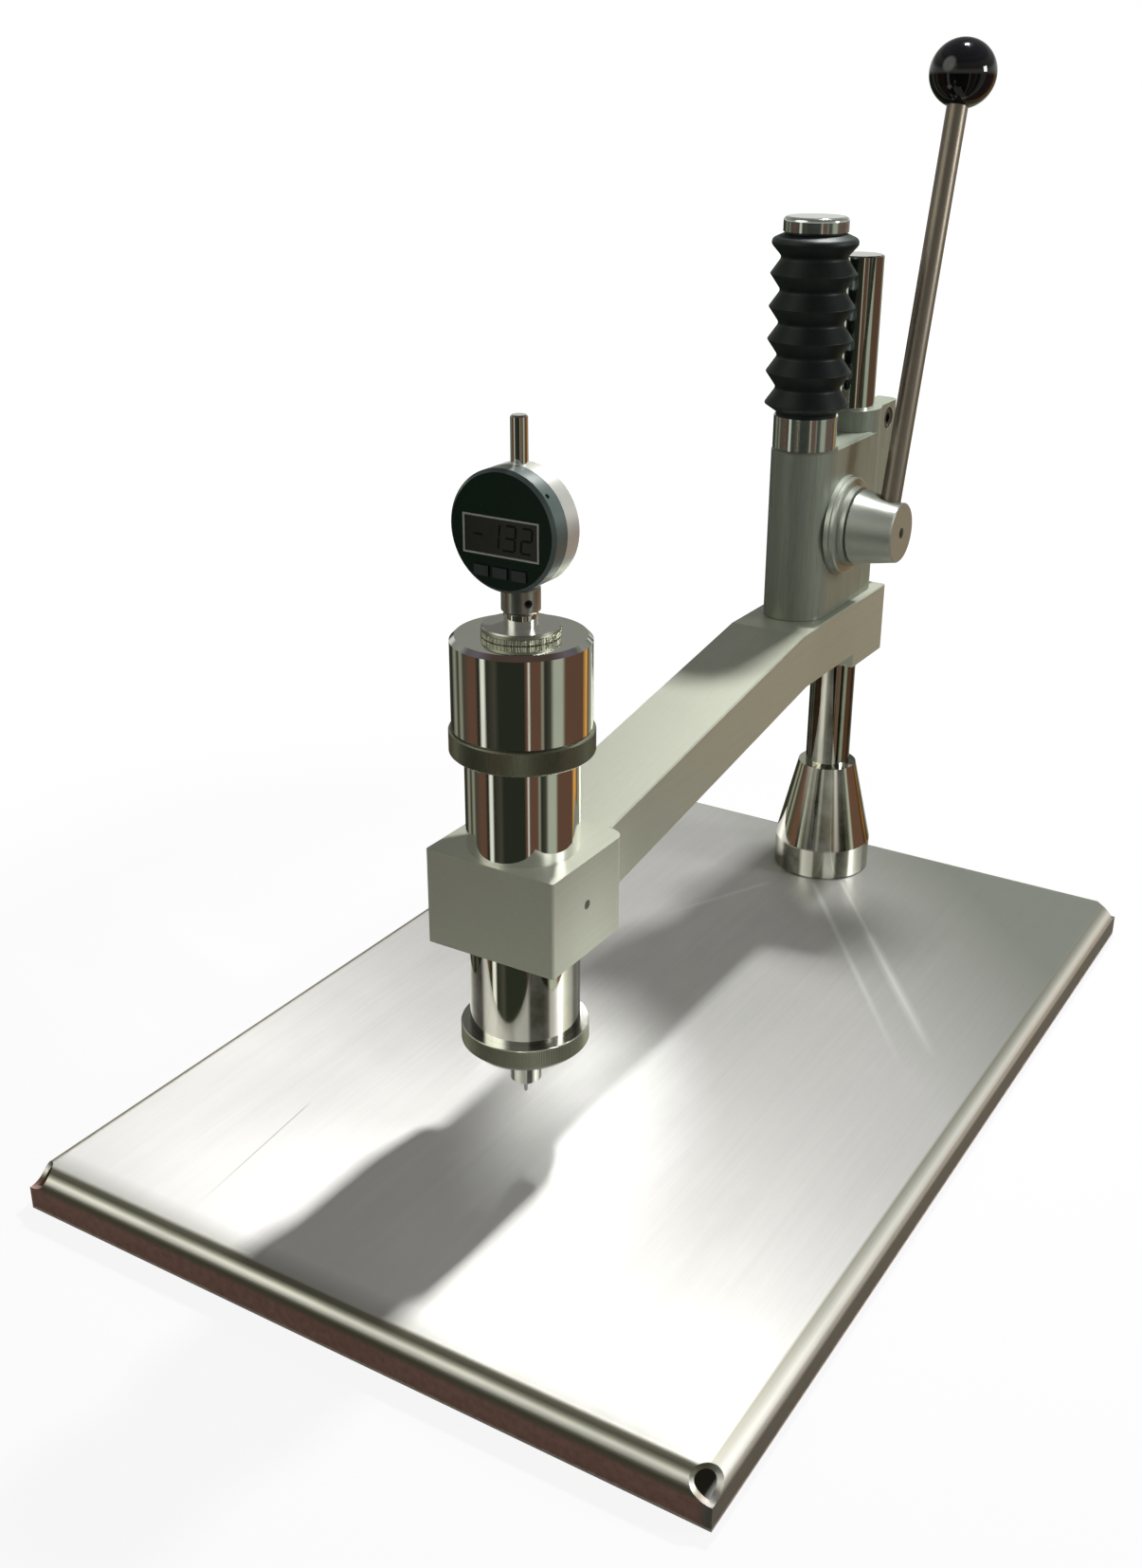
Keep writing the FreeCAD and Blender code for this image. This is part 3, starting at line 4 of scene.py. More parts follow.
import bmesh
import bpy
from bpy.props import FloatProperty, FloatVectorProperty, IntProperty, PointerProperty
from mathutils import Matrix, Vector
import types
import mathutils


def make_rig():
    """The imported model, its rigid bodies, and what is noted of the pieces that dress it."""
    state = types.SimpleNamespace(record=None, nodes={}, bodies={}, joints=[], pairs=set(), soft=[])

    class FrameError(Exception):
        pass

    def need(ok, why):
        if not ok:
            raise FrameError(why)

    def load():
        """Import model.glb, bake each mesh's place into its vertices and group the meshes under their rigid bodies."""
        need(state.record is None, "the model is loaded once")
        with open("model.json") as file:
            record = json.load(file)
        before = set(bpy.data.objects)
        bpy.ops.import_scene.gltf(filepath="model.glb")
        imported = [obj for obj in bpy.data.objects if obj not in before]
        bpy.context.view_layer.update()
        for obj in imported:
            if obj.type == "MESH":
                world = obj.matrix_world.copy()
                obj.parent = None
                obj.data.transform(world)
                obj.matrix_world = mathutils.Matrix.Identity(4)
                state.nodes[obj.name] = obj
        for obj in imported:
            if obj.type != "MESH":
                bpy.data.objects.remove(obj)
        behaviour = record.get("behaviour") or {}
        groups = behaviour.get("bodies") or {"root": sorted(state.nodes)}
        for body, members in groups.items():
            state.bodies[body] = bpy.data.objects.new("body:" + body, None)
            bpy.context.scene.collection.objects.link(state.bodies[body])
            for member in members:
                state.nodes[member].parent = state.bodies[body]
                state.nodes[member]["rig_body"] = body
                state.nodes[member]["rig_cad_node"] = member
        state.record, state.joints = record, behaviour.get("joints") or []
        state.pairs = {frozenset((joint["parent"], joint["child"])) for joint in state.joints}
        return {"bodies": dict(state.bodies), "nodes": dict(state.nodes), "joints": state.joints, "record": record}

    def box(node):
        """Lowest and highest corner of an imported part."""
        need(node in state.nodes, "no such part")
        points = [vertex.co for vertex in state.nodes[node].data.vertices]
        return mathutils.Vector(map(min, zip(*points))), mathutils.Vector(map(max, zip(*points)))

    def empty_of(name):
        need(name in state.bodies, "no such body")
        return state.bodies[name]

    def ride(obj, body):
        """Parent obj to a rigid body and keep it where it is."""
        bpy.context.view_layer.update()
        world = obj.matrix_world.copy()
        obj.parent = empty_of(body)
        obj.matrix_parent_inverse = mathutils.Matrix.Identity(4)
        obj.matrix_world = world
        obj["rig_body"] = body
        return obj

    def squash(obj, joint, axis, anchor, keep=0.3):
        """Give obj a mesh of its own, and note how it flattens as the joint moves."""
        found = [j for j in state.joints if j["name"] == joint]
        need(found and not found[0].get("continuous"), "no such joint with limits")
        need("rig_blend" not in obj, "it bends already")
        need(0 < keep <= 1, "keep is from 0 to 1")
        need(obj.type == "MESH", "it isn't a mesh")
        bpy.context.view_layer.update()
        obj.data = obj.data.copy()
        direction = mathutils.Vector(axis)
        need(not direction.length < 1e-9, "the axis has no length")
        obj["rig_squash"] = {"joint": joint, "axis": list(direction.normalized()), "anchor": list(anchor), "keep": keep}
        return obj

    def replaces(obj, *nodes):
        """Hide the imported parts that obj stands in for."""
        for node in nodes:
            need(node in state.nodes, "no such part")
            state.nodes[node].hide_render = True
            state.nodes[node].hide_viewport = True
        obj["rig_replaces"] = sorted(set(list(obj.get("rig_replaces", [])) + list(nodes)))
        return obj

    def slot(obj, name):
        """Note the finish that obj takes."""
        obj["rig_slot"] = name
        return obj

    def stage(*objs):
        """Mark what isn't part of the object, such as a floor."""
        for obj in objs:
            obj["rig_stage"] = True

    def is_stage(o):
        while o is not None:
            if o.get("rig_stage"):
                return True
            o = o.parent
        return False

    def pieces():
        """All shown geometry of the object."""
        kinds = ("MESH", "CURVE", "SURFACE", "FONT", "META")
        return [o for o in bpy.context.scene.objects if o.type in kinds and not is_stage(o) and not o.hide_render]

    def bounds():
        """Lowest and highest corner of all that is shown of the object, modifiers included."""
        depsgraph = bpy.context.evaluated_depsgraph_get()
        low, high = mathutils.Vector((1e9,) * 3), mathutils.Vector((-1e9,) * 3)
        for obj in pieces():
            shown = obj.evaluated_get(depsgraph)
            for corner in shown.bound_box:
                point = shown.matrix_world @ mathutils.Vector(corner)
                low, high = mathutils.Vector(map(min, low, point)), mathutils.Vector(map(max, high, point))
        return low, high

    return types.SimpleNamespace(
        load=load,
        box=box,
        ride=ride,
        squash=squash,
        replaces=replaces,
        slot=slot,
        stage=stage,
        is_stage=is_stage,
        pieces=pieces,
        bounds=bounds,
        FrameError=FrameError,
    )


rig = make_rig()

bl_info = {
    "name": "Bench Durometer",
    "version": (1, 0, 0),
    "blender": (4, 5, 0),
    "location": "3D View > Sidebar > Durometer",
    "description": "Finishes and details for a bench durometer on a hand press",
    "category": "Object",
}

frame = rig.load()
NODES = frame["nodes"]
CAD_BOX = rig.bounds()


def colour(name, description, value):
    return FloatVectorProperty(name=name, description=description, subtype="COLOR",
                               size=3, min=0, max=1, default=value)


def length(name, description, value):
    return FloatProperty(name=name, description=description, unit="LENGTH", subtype="DISTANCE",
                         min=0, precision=5, default=value)


def power(name, description, value):
    return FloatProperty(name=name, description=description, unit="POWER", min=0, default=value)


def factor(name, description, value, high=1.0):
    return FloatProperty(name=name, description=description, subtype="FACTOR",
                         min=0, max=high, default=value)


class BaseLook(bpy.types.PropertyGroup):
    plate_colour: colour("Plate", "Brushed stainless sheet", (0.73, 0.725, 0.70))
    # The rim's tints are painted reflections: one all round, another at the right side.
    rim_reflection_colour: colour("Rim", "Folded rim, as it shows from the side", (0.52, 0.31, 0.265))
    side_rim_reflection_colour: colour("Side rim", "Folded rim on the right side", (0.20, 0.24, 0.22))
    # Painted shade: the tint towards which the plate darkens at its far corner.
    far_shade_colour: colour("Far corner", "What the plate shows at its far corner", (0.24, 0.265, 0.21))
    # Painted shade: the tint of a narrow strip of the plate beside its front bend.
    front_shade_colour: colour("Front strip", "The plate beside its front bend", (0.30, 0.295, 0.26))
    # Painted highlight: the glint painted along the bend at the right side.
    painted_glint_colour: colour("Side bend", "Glint along the bends at the sides", (0.97, 0.97, 0.90))
    cut_colour: colour("Cut edge", "Bare lower edge of the rim", (0.75, 0.70, 0.66))
    grain_length: length("Grain length", "Length of one brush mark", 0.06)
    grain_width: length("Grain width", "Width of one brush mark", 0.0006)
    roughness: factor("Roughness", "Sheen of the brushed sheet", 0.51)


class SteelLook(bpy.types.PropertyGroup):
    polished_colour: colour("Polished", "Mirror-polished steel", (0.80, 0.80, 0.78))
    polished_roughness: factor("Polish", "Blur of the mirror finish", 0.03)
    column_colour: colour("Column", "Polished column and rings", (0.60, 0.64, 0.61))
    satin_colour: colour("Satin", "Satin turned steel", (0.42, 0.42, 0.39))
    hub_colour: colour("Hub", "Turned hub and flange", (0.40, 0.425, 0.37))
    housing_colour: colour("Housing", "Milled and ground housing", (0.25, 0.275, 0.22))
    rod_colour: colour("Rod", "Drawn lever rod", (0.19, 0.16, 0.12))
    knurl_colour: colour("Knurl", "Knurled rings", (0.26, 0.265, 0.20))
    screw_colour: colour("Screws", "Blackened screws", (0.03, 0.03, 0.03))
    bronze_colour: colour("Bushes", "Bearing bronze", (0.55, 0.36, 0.15))
    # The head's tube shows its lower painted reflections up to this height.
    tube_reflections_height: length("Tube streaks", "Height of the streaks on the head's tube", 0.057)
    foot_rim: length("Foot rim", "Height of the upright rim of the column's foot", 0.021)
    # The painted reflections of the column run this far into the arm.
    in_arm: length("In the arm", "How far the column's streaks run into the arm", 0.012)


class ArmLook(bpy.types.PropertyGroup):
    arm_colour: colour("Arm", "Fine ground light metal", (0.485, 0.505, 0.41))
    grain_length: length("Grain length", "Length of one grinding mark", 0.02)
    grain_width: length("Grain width", "Width of one grinding mark", 0.0003)
    roughness: factor("Roughness", "Sheen of the ground faces", 0.42)


class SoftLook(bpy.types.PropertyGroup):
    rubber_colour: colour("Bellows", "Moulded black rubber", (0.003, 0.008, 0.007))
    knob_colour: colour("Knob", "Glossy black plastic", (0.004, 0.004, 0.005))
    folds: IntProperty(name="Folds", description="Number of folds of the bellows", min=2, default=6)
    first_fold: length("First fold", "Height of the lowest fold", 0.007)
    last_fold: length("Last fold", "Depth of the highest fold below the top", 0.005)
    valley: length("Valley", "Radius between two folds", 0.0192)
    end_step: length("End step", "How far the ends stand back from the folds", 0.00738)
    wall: length("Wall", "Thickness of the rubber", 0.0018)
    fold_round: length("Fold rounding", "Rounding of a fold's edge", 0.0007)
    lip_round: length("Lip rounding", "Rounding of the highest fold", 0.0032)


class KnurlSizes(bpy.types.PropertyGroup):
    pitch: length("Pitch", "Distance from ridge to ridge", 0.00085)
    depth: length("Depth", "Height of a ridge", 0.00025)
    seat_gap: length("Seat gap", "Room between a ring and the tube inside it", 0.00002)
    disc_bore: length("Disc bore", "Radius of the thin disc's bore", 0.00837)
    nose_bore: length("Nose bore", "Radius of the bottom ring's bore", 0.00832)


class IndicatorLook(bpy.types.PropertyGroup):
    silver_colour: colour("Case", "Bead-blasted silver case", (0.54, 0.54, 0.50))
    slate_colour: colour("Bezel", "Slate grey plastic bezel", (0.078, 0.106, 0.098))
    face_colour: colour("Face", "Black face", (0.002, 0.016, 0.007))
    frame_colour: colour("Display frame", "Pale display frame", (0.50, 0.51, 0.46))
    glass_colour: colour("Display", "Dark display", (0.011, 0.013, 0.006))
    digit_colour: colour("Digits", "Faint digits of the display", (0.004, 0.003, 0.002))
    key_colour: colour("Keys", "Rubber keys", (0.012, 0.018, 0.020))
    digit_height: length("Digit height", "Height of one digit", 0.0118)
    digit_width: length("Digit width", "Width of one digit", 0.0055)
    segment: length("Segment", "Width of a digit's segment", 0.0009)
    pitch: factor("Digit pitch", "From digit to digit, in digit widths", 1.62, 3)
    slant: factor("Slant", "How far the digits lean", 0.08)


class StageLook(bpy.types.PropertyGroup):
    floor_colour: colour("Floor", "Plain pale floor", (0.40, 0.40, 0.40))
    back_power: power("Back light", "Power of the light behind the object", 10.6)
    side_power: power("Side light", "Power of the soft light on the right", 12.5)
    front_power: power("Front light", "Power of the weak front light", 0.8)
    fill_power: power("Fill light", "Power of the narrow light by the head", 36.0)
    block_power: power("Block light", "Power of the narrow light on the block", 60.0)
    ambient: factor("Surroundings", "Strength of the even surroundings", 0.22, 3)


class DurometerProperties(bpy.types.PropertyGroup):
    base: PointerProperty(type=BaseLook, name="Base")
    steel: PointerProperty(type=SteelLook, name="Steel")
    arm: PointerProperty(type=ArmLook, name="Arm")
    soft: PointerProperty(type=SoftLook, name="Rubber and plastic")
    knurl: PointerProperty(type=KnurlSizes, name="Knurl")
    indicator: PointerProperty(type=IndicatorLook, name="Indicator")
    stage: PointerProperty(type=StageLook, name="Stage")


# How far the camera stands round the object from +X towards -Y, in radians.
CAMERA_TURN = 1.0245

# The tints of the room round the object.
DARK = (0.022, 0.026, 0.017)
OLIVE = (0.060, 0.058, 0.042)
BROWN = (0.125, 0.068, 0.043)
KHAKI = (0.30, 0.30, 0.225)
SAGE = (0.40, 0.43, 0.34)
WINDOW = (0.84, 0.86, 0.75)
AMBER = (0.87, 0.45, 0.10)

# How they follow each other across an upright polished cylinder, from its left
# edge, at -1, to its right edge, at 1.
ROOM = (
    (-1.00, OLIVE), (-0.95, DARK), (-0.91, KHAKI), (-0.87, DARK), (-0.83, KHAKI),
    (-0.79, OLIVE), (-0.70, BROWN), (-0.62, BROWN), (-0.59, DARK), (-0.565, DARK),
    (-0.54, WINDOW), (-0.505, WINDOW), (-0.475, DARK), (-0.36, OLIVE), (-0.30, DARK),
    (0.05, DARK), (0.075, BROWN), (0.095, BROWN), (0.115, WINDOW), (0.135, BROWN),
    (0.27, BROWN), (0.30, KHAKI), (0.33, DARK), (0.41, OLIVE), (0.46, SAGE),
    (0.57, SAGE), (0.61, BROWN), (0.86, BROWN), (0.895, AMBER), (0.92, BROWN),
    (0.96, SAGE), (1.00, KHAKI),
)

# What hangs above that room, from the horizon up, by the height of the view.
SKY = (
    (0.00, (0.70, 0.70, 0.66)), (0.16, (0.70, 0.70, 0.66)), (0.26, (0.25, 0.255, 0.22)),
    (0.48, (0.29, 0.30, 0.265)), (0.60, (0.115, 0.105, 0.115)), (0.74, (0.14, 0.125, 0.145)),
    (0.86, (0.075, 0.052, 0.042)),
)

# The tints of painted reflections on bright steel and along the plate's bends.
UMBER = (0.11, 0.105, 0.075)
DUSK = (0.23, 0.22, 0.16)
STONE = (0.46, 0.46, 0.37)
CREAM = (0.93, 0.92, 0.84)

# Painted reflections on the lower end of the head's tube and on its nose: upright light and
# dark bands, placed like the room's tints.
TUBE_REFLECTIONS = (
    (-0.999, DUSK), (-0.74, UMBER), (-0.68, CREAM), (0.08, CREAM), (0.13, UMBER),
    (0.36, UMBER), (0.44, DUSK), (0.48, CREAM), (0.66, CREAM), (0.70, STONE), (0.84, STONE),
    (0.90, UMBER), (0.999, DUSK),
)

# Painted reflections, as upright light and dark bands, on the upright rim and on the cone of
# the column's foot.
FOOT_RIM_REFLECTIONS = (
    (-0.999, DUSK), (-0.90, STONE), (-0.86, UMBER), (-0.58, UMBER), (-0.52, CREAM),
    (-0.33, CREAM), (-0.29, DUSK), (-0.11, DUSK), (-0.07, CREAM), (0.13, CREAM), (0.18, UMBER),
    (0.43, UMBER), (0.49, CREAM), (0.75, CREAM), (0.80, STONE), (0.999, DUSK),
)
FOOT_CONE_REFLECTIONS = (
    (-0.999, CREAM), (-0.66, CREAM), (-0.60, DUSK), (-0.48, STONE), (-0.44, UMBER),
    (-0.30, UMBER), (-0.26, STONE), (-0.20, UMBER), (0.00, DUSK), (0.10, DUSK), (0.15, CREAM),
    (0.19, CREAM), (0.24, UMBER), (0.46, UMBER), (0.52, CREAM), (0.80, CREAM), (0.86, UMBER),
    (0.999, UMBER),
)

# Painted reflections, as upright light and dark bands, on the column between its foot and the
# arm.
COLUMN_REFLECTIONS = (
    (-0.999, UMBER), (-0.62, UMBER), (-0.55, STONE), (-0.40, CREAM), (-0.30, DUSK),
    (-0.20, UMBER), (0.05, UMBER), (0.10, CREAM), (0.18, CREAM), (0.23, UMBER), (0.34, UMBER),
    (0.42, STONE), (0.70, STONE), (0.80, UMBER), (0.999, UMBER),
)

# Painted highlights and painted shade: the light and dark lines along the bends of the plate,
# by how far they face up.
BEND_REFLECTIONS = (
    (0.00, DUSK), (0.10, DUSK), (0.24, STONE), (0.36, CREAM), (0.61, CREAM), (0.74, STONE),
    (0.86, DUSK), (0.96, DUSK), (1.00, STONE),
)

# Long marks on the plate, by start, end, width, tint and strength: painted light, the glare
# that the foot throws, and one scratch.
GLARE = (0.97, 0.98, 0.92)
SCRATCH = (0.20, 0.19, 0.17)
GLARE_AND_SCRATCH = (
    ((0.006, 0.222), (0.150, 0.029), 0.0030, GLARE, 0.55),
    ((0.023, 0.233), (0.164, 0.046), 0.0022, GLARE, 0.45),
    ((0.070, 0.170), (0.164, 0.046), 0.0050, GLARE, 0.55),
    ((-0.014, 0.202), (-0.055, 0.118), 0.0030, GLARE, 0.45),
    ((-0.114, -0.174), (-0.104, -0.276), 0.0006, SCRATCH, 0.7),
)

# How many polishing marks cross one metre of a mirror finish.
POLISH_LINES = 1400

# The camera's place and axes, and in pixels its focal length, the height of its frame,
# the frame's middle and the point on which the lens is centred.
CAMERA_PLACE = (0.41945, -0.76367, 0.55811)
CAMERA_AHEAD = Vector((-0.47796951, 0.78599812, -0.39211235))
CAMERA_RIGHT = Vector((0.85330776, 0.52138383, 0.00497721))
CAMERA_UP = Vector((-0.20835312, 0.33221356, 0.91990387))
FOCUS = 1769.28
FRAME_HEIGHT = 1654
FRAME_MIDDLE = Vector((602.5, 827.0))
LENS_MIDDLE = Vector((617.58, 810.27))


# Shader helpers

class Nodes:
    """A node tree with short ways to add and link nodes."""

    def __init__(self, tree):
        self.tree = tree

    def feed(self, socket, value):
        """Link a socket to another, or set it to a value."""
        if isinstance(value, bpy.types.NodeSocket):
            self.tree.links.new(value, socket)
        elif socket.type == "RGBA" and len(value) == 3:
            socket.default_value = (*value, 1)
        else:
            socket.default_value = value

    def add(self, kind, inputs=None, **settings):
        made = self.tree.nodes.new(kind)
        for name, value in settings.items():
            setattr(made, name, value)
        for name, value in (inputs or {}).items():
            self.feed(made.inputs[name], value)
        return made

    def math(self, operation, first, second=0.0):
        return self.add("ShaderNodeMath", {0: first, 1: second}, operation=operation).outputs[0]

    def dot(self, first, second):
        return self.add("ShaderNodeVectorMath", {0: first, 1: second},
                        operation="DOT_PRODUCT").outputs["Value"]

    def effect(self, tree, inputs):
        """One of the shader node groups, placed with its own values."""
        return self.add("ShaderNodeGroup", inputs, node_tree=tree).outputs

    def spread(self, value, low, high, to_low=0.0, to_high=1.0):
        """The value moved from one span to another, and held inside it."""
        made = self.add("ShaderNodeMapRange", {"Value": value, "From Min": low, "From Max": high,
                                               "To Min": to_low, "To Max": to_high})
        return made.outputs["Result"]

    def blend(self, share, first, second):
        """A mix of two colours."""
        return self.add("ShaderNodeMix", {0: share, 6: first, 7: second},
                        data_type="RGBA").outputs[2]

    def noise(self, vector, scale, detail=3.0, roughness=0.55):
        made = self.add("ShaderNodeTexNoise", {"Vector": vector, "Scale": scale, "Detail": detail,
                                               "Roughness": roughness})
        return made.outputs[0]

    def place(self, vector, location=(0, 0, 0), rotation=(0, 0, 0), scale=(1, 1, 1)):
        made = self.add("ShaderNodeMapping", {"Vector": vector, "Location": location,
                                              "Rotation": rotation, "Scale": scale})
        return made.outputs[0]

    def ramp(self, share, stops, placed=lambda place: place):
        """A colour from stops of a place and a tint; placed turns each place into a share."""
        made = self.add("ShaderNodeValToRGB", {"Fac": share})
        elements = made.color_ramp.elements
        while len(elements) < len(stops):
            elements.new(0.5)
        for element, (place, tint) in zip(elements, stops):
            element.position = placed(place)
        for element, (place, tint) in zip(elements, stops):
            element.color = (*tint, 1)
        return made.outputs["Color"]

    def round_about(self, parts):
        """The angle about an upright axis as a share of a turn, at 0.5 towards the camera."""
        turn = self.math("ARCTAN2", parts["Y"], parts["X"])
        turn = self.math("ADD", self.math("DIVIDE", self.math("ADD", turn, CAMERA_TURN),
                                          2 * math.pi), 0.5)
        return self.math("FRACT", turn)

    def line(self, vector, start, end, width):
        """A straight soft mark on a flat face, seen from above."""
        along = Vector(end) - Vector(start)
        reach = along.length
        along.normalize()
        moved = self.place(vector, (-start[0], -start[1], 0))
        forward = self.dot(moved, (along.x, along.y, 0))
        aside = self.dot(moved, (-along.y, along.x, 0))
        mask = self.spread(self.math("ABSOLUTE", aside), 0.0, width, 1.0, 0.0)
        mask = self.math("MULTIPLY", mask, self.spread(forward, 0.0, 0.01))
        return self.math("MULTIPLY", mask, self.spread(forward, reach * 0.6, reach, 1.0, 0.0))


def on_cylinder(place):
    """The share of a turn at which a place from -1 to 1 across an upright cylinder lies."""
    return 0.5 + math.asin(place) / (2 * math.pi)


def mirrored(place):
    """The share of a turn towards which such a place of a mirror looks."""
    return 0.5 + math.asin(place) / math.pi


def even(tint):
    """Stops that keep one tint all the way round."""
    return (-0.999, tint), (0.999, tint)


def make_group(name, inputs, outputs, build):
    """A shader node group, made once."""
    found = bpy.data.node_groups.get(name)
    if found:
        return found
    group = bpy.data.node_groups.new(name, "ShaderNodeTree")
    for socket, kind, value in inputs:
        made = group.interface.new_socket(socket, in_out="INPUT", socket_type=kind)
        if value is not None:
            made.default_value = value
    for socket, kind in outputs:
        group.interface.new_socket(socket, in_out="OUTPUT", socket_type=kind)
    nodes = Nodes(group)
    start = nodes.add("NodeGroupInput")
    end = nodes.add("NodeGroupOutput")
    for socket, value in build(nodes, start.outputs).items():
        group.links.new(value, end.inputs[socket])
    return group


def brushed_grain():
    """Fine parallel marks with a slow change of tone between them."""
    def build(nodes, given):
        stretched = nodes.add("ShaderNodeVectorMath", {0: given["Vector"], 1: given["Fineness"]},
                              operation="MULTIPLY").outputs[0]
        fine = nodes.noise(stretched, 1.0, 4.0, 0.65)
        broad = nodes.add("ShaderNodeVectorMath", {0: stretched, 1: (0.12, 0.12, 0.12)},
                          operation="MULTIPLY").outputs[0]
        bands = nodes.noise(broad, 1.0, 2.0)
        cloud = nodes.noise(given["Vector"], 14.0, 3.0)
        marks = nodes.math("ADD", nodes.math("MULTIPLY", fine, 0.65),
                           nodes.math("MULTIPLY", bands, 0.35))
        tone = nodes.spread(nodes.math("ADD", nodes.math("MULTIPLY", marks, 0.8),
                                       nodes.math("MULTIPLY", cloud, 0.2)), 0.3, 0.7)
        return {"Tone": tone, "Height": marks, "Cloud": cloud}
    return make_group(
        "brushed grain",
        [("Vector", "NodeSocketVector", None), ("Fineness", "NodeSocketVector", None)],
        [("Tone", "NodeSocketFloat"), ("Height", "NodeSocketFloat"),
         ("Cloud", "NodeSocketFloat")], build)


def turned_marks():
    """Rings that a lathe tool or a polishing belt leaves along an axis."""
    def build(nodes, given):
        along = nodes.dot(given["Vector"], given["Axis"])
        rings = nodes.add("ShaderNodeTexNoise", {"W": nodes.math("MULTIPLY", along, given["Lines"]),
                                                 "Scale": 1.0, "Detail": 3.0, "Roughness": 0.7},
                          noise_dimensions="1D").outputs[0]
        smudge = nodes.noise(given["Vector"], 45.0, 4.0, 0.6)
        return {"Tone": nodes.spread(rings, 0.25, 0.75), "Height": rings,
                "Smudge": nodes.spread(smudge, 0.35, 0.75)}
    return make_group(
        "turned marks",
        [("Vector", "NodeSocketVector", None), ("Axis", "NodeSocketVector", None),
         ("Lines", "NodeSocketFloat", 2500.0)],
        [("Tone", "NodeSocketFloat"), ("Height", "NodeSocketFloat"),
         ("Smudge", "NodeSocketFloat")], build)


def fine_specks():
    """Small grain of blasted metal, moulded plastic and rubber, with faint dust."""
    def build(nodes, given):
        grain = nodes.noise(given["Vector"], given["Density"], 3.0, 0.6)
        dust = nodes.noise(given["Vector"], 60.0, 5.0, 0.7)
        return {"Height": grain, "Dust": nodes.spread(dust, 0.5, 0.78)}
    return make_group(
        "fine specks",
        [("Vector", "NodeSocketVector", None), ("Density", "NodeSocketFloat", 1500.0)],
        [("Height", "NodeSocketFloat"), ("Dust", "NodeSocketFloat")], build)


def start_material(name):
    """An empty material with its shader, its coordinates and its node helper."""
    material = bpy.data.materials.get(name)
    if material:
        bpy.data.materials.remove(material)
    material = bpy.data.materials.new(name)
    material.use_nodes = True
    nodes = Nodes(material.node_tree)
    shader = material.node_tree.nodes["Principled BSDF"]
    where = nodes.add("ShaderNodeTexCoord").outputs["Object"]
    return material, nodes, shader, where


def settle(nodes, shader, **sockets):
    """Set or link the shader's sockets, named with underscores for spaces."""
    for name, value in sockets.items():
        nodes.feed(shader.inputs[name.replace("_", " ")], value)


def relief(nodes, height, strength, distance):
    """A small relief that feeds the shader's normal."""
    return nodes.add("ShaderNodeBump", {"Height": height, "Strength": strength,
                                        "Distance": distance}).outputs[0]


def shade(value, amount):
    """A tint made darker or lighter."""
    return tuple(min(1.0, part * amount) for part in value)


def paint(material, *names):
    """Give a material to the nodes or pieces with these names."""
    for name in names:
        mesh = (NODES.get(name) or bpy.data.objects[name]).data
        mesh.materials.clear()
        mesh.materials.append(material)


def grained_metal(name, tint, roughness, fineness, depth=0.25, contrast=0.18, metallic=0.6):
    """Ground or brushed metal whose marks run along the axis with the lowest fineness."""
    material, nodes, shader, where = start_material(name)
    grain = nodes.effect(brushed_grain(), {"Vector": where, "Fineness": fineness})
    settle(nodes, shader, Metallic=metallic,
           Base_Color=nodes.blend(grain["Tone"], shade(tint, 1 - contrast),
                                  shade(tint, 1 + contrast)),
           Roughness=nodes.spread(grain["Tone"], 0, 1, roughness + 0.06, roughness - 0.05),
           Normal=relief(nodes, grain["Height"], depth, 0.0002))
    return material


def turned_metal(name, tint, roughness, axis, lines=2500.0, depth=0.05, contrast=0.06,
                 metallic=1.0):
    """Turned metal, from satin to mirror, with rings about its axis and faint smudges."""
    material, nodes, shader, where = start_material(name)
    marks = nodes.effect(turned_marks(), {"Vector": where, "Axis": axis, "Lines": lines})
    base = nodes.blend(marks["Tone"], shade(tint, 1 - contrast), shade(tint, 1 + contrast))
    settle(nodes, shader, Metallic=metallic,
           Base_Color=nodes.blend(marks["Smudge"], base, shade(tint, 0.93)),
           Roughness=nodes.spread(marks["Smudge"], 0, 1, roughness, roughness + 0.06),
           Normal=relief(nodes, marks["Height"], depth, 0.0001))
    return material


def moulded(name, tint, roughness, density=1500.0, depth=0.2, dust=0.006, coat=0.0, shine=0.5):
    """Moulded plastic or rubber with a fine grain and a little dust."""
    material, nodes, shader, where = start_material(name)
    specks = nodes.effect(fine_specks(), {"Vector": where, "Density": density})
    pale = tuple(part + dust for part in tint)
    settle(nodes, shader, Metallic=0.0, Coat_Weight=coat, Coat_Roughness=0.04,
           Specular_IOR_Level=shine,
           Base_Color=nodes.blend(specks["Dust"], tint, pale),
           Roughness=nodes.spread(specks["Dust"], 0, 1, roughness, roughness + 0.15),
           Normal=relief(nodes, specks["Height"], depth, 0.0002))
    return material


# Mesh helpers

def new_piece(name, mesh, body, slot, material):
    """An object from a finished bmesh, riding on a body. Extruding leaves the faces in
    another order each run, so they are put in the order of their corners."""
    data = bpy.data.meshes.new(name)
    bmesh.ops.recalc_face_normals(mesh, faces=mesh.faces)
    mesh.verts.index_update()
    count = len(mesh.verts)
    mesh.faces.sort(key=lambda face: count * min(vert.index for vert in face.verts)
                    + max(vert.index for vert in face.verts))
    mesh.to_mesh(data)
    mesh.free()
    piece = bpy.data.objects.new(name, data)
    bpy.context.scene.collection.objects.link(piece)
    data.materials.append(material)
    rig.ride(piece, body)
    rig.slot(piece, slot)
    return piece


def travel(joint):
    """How far a sliding joint moves from rest."""
    return next(made["range_m"][1] for made in frame["joints"] if made["name"] == joint)


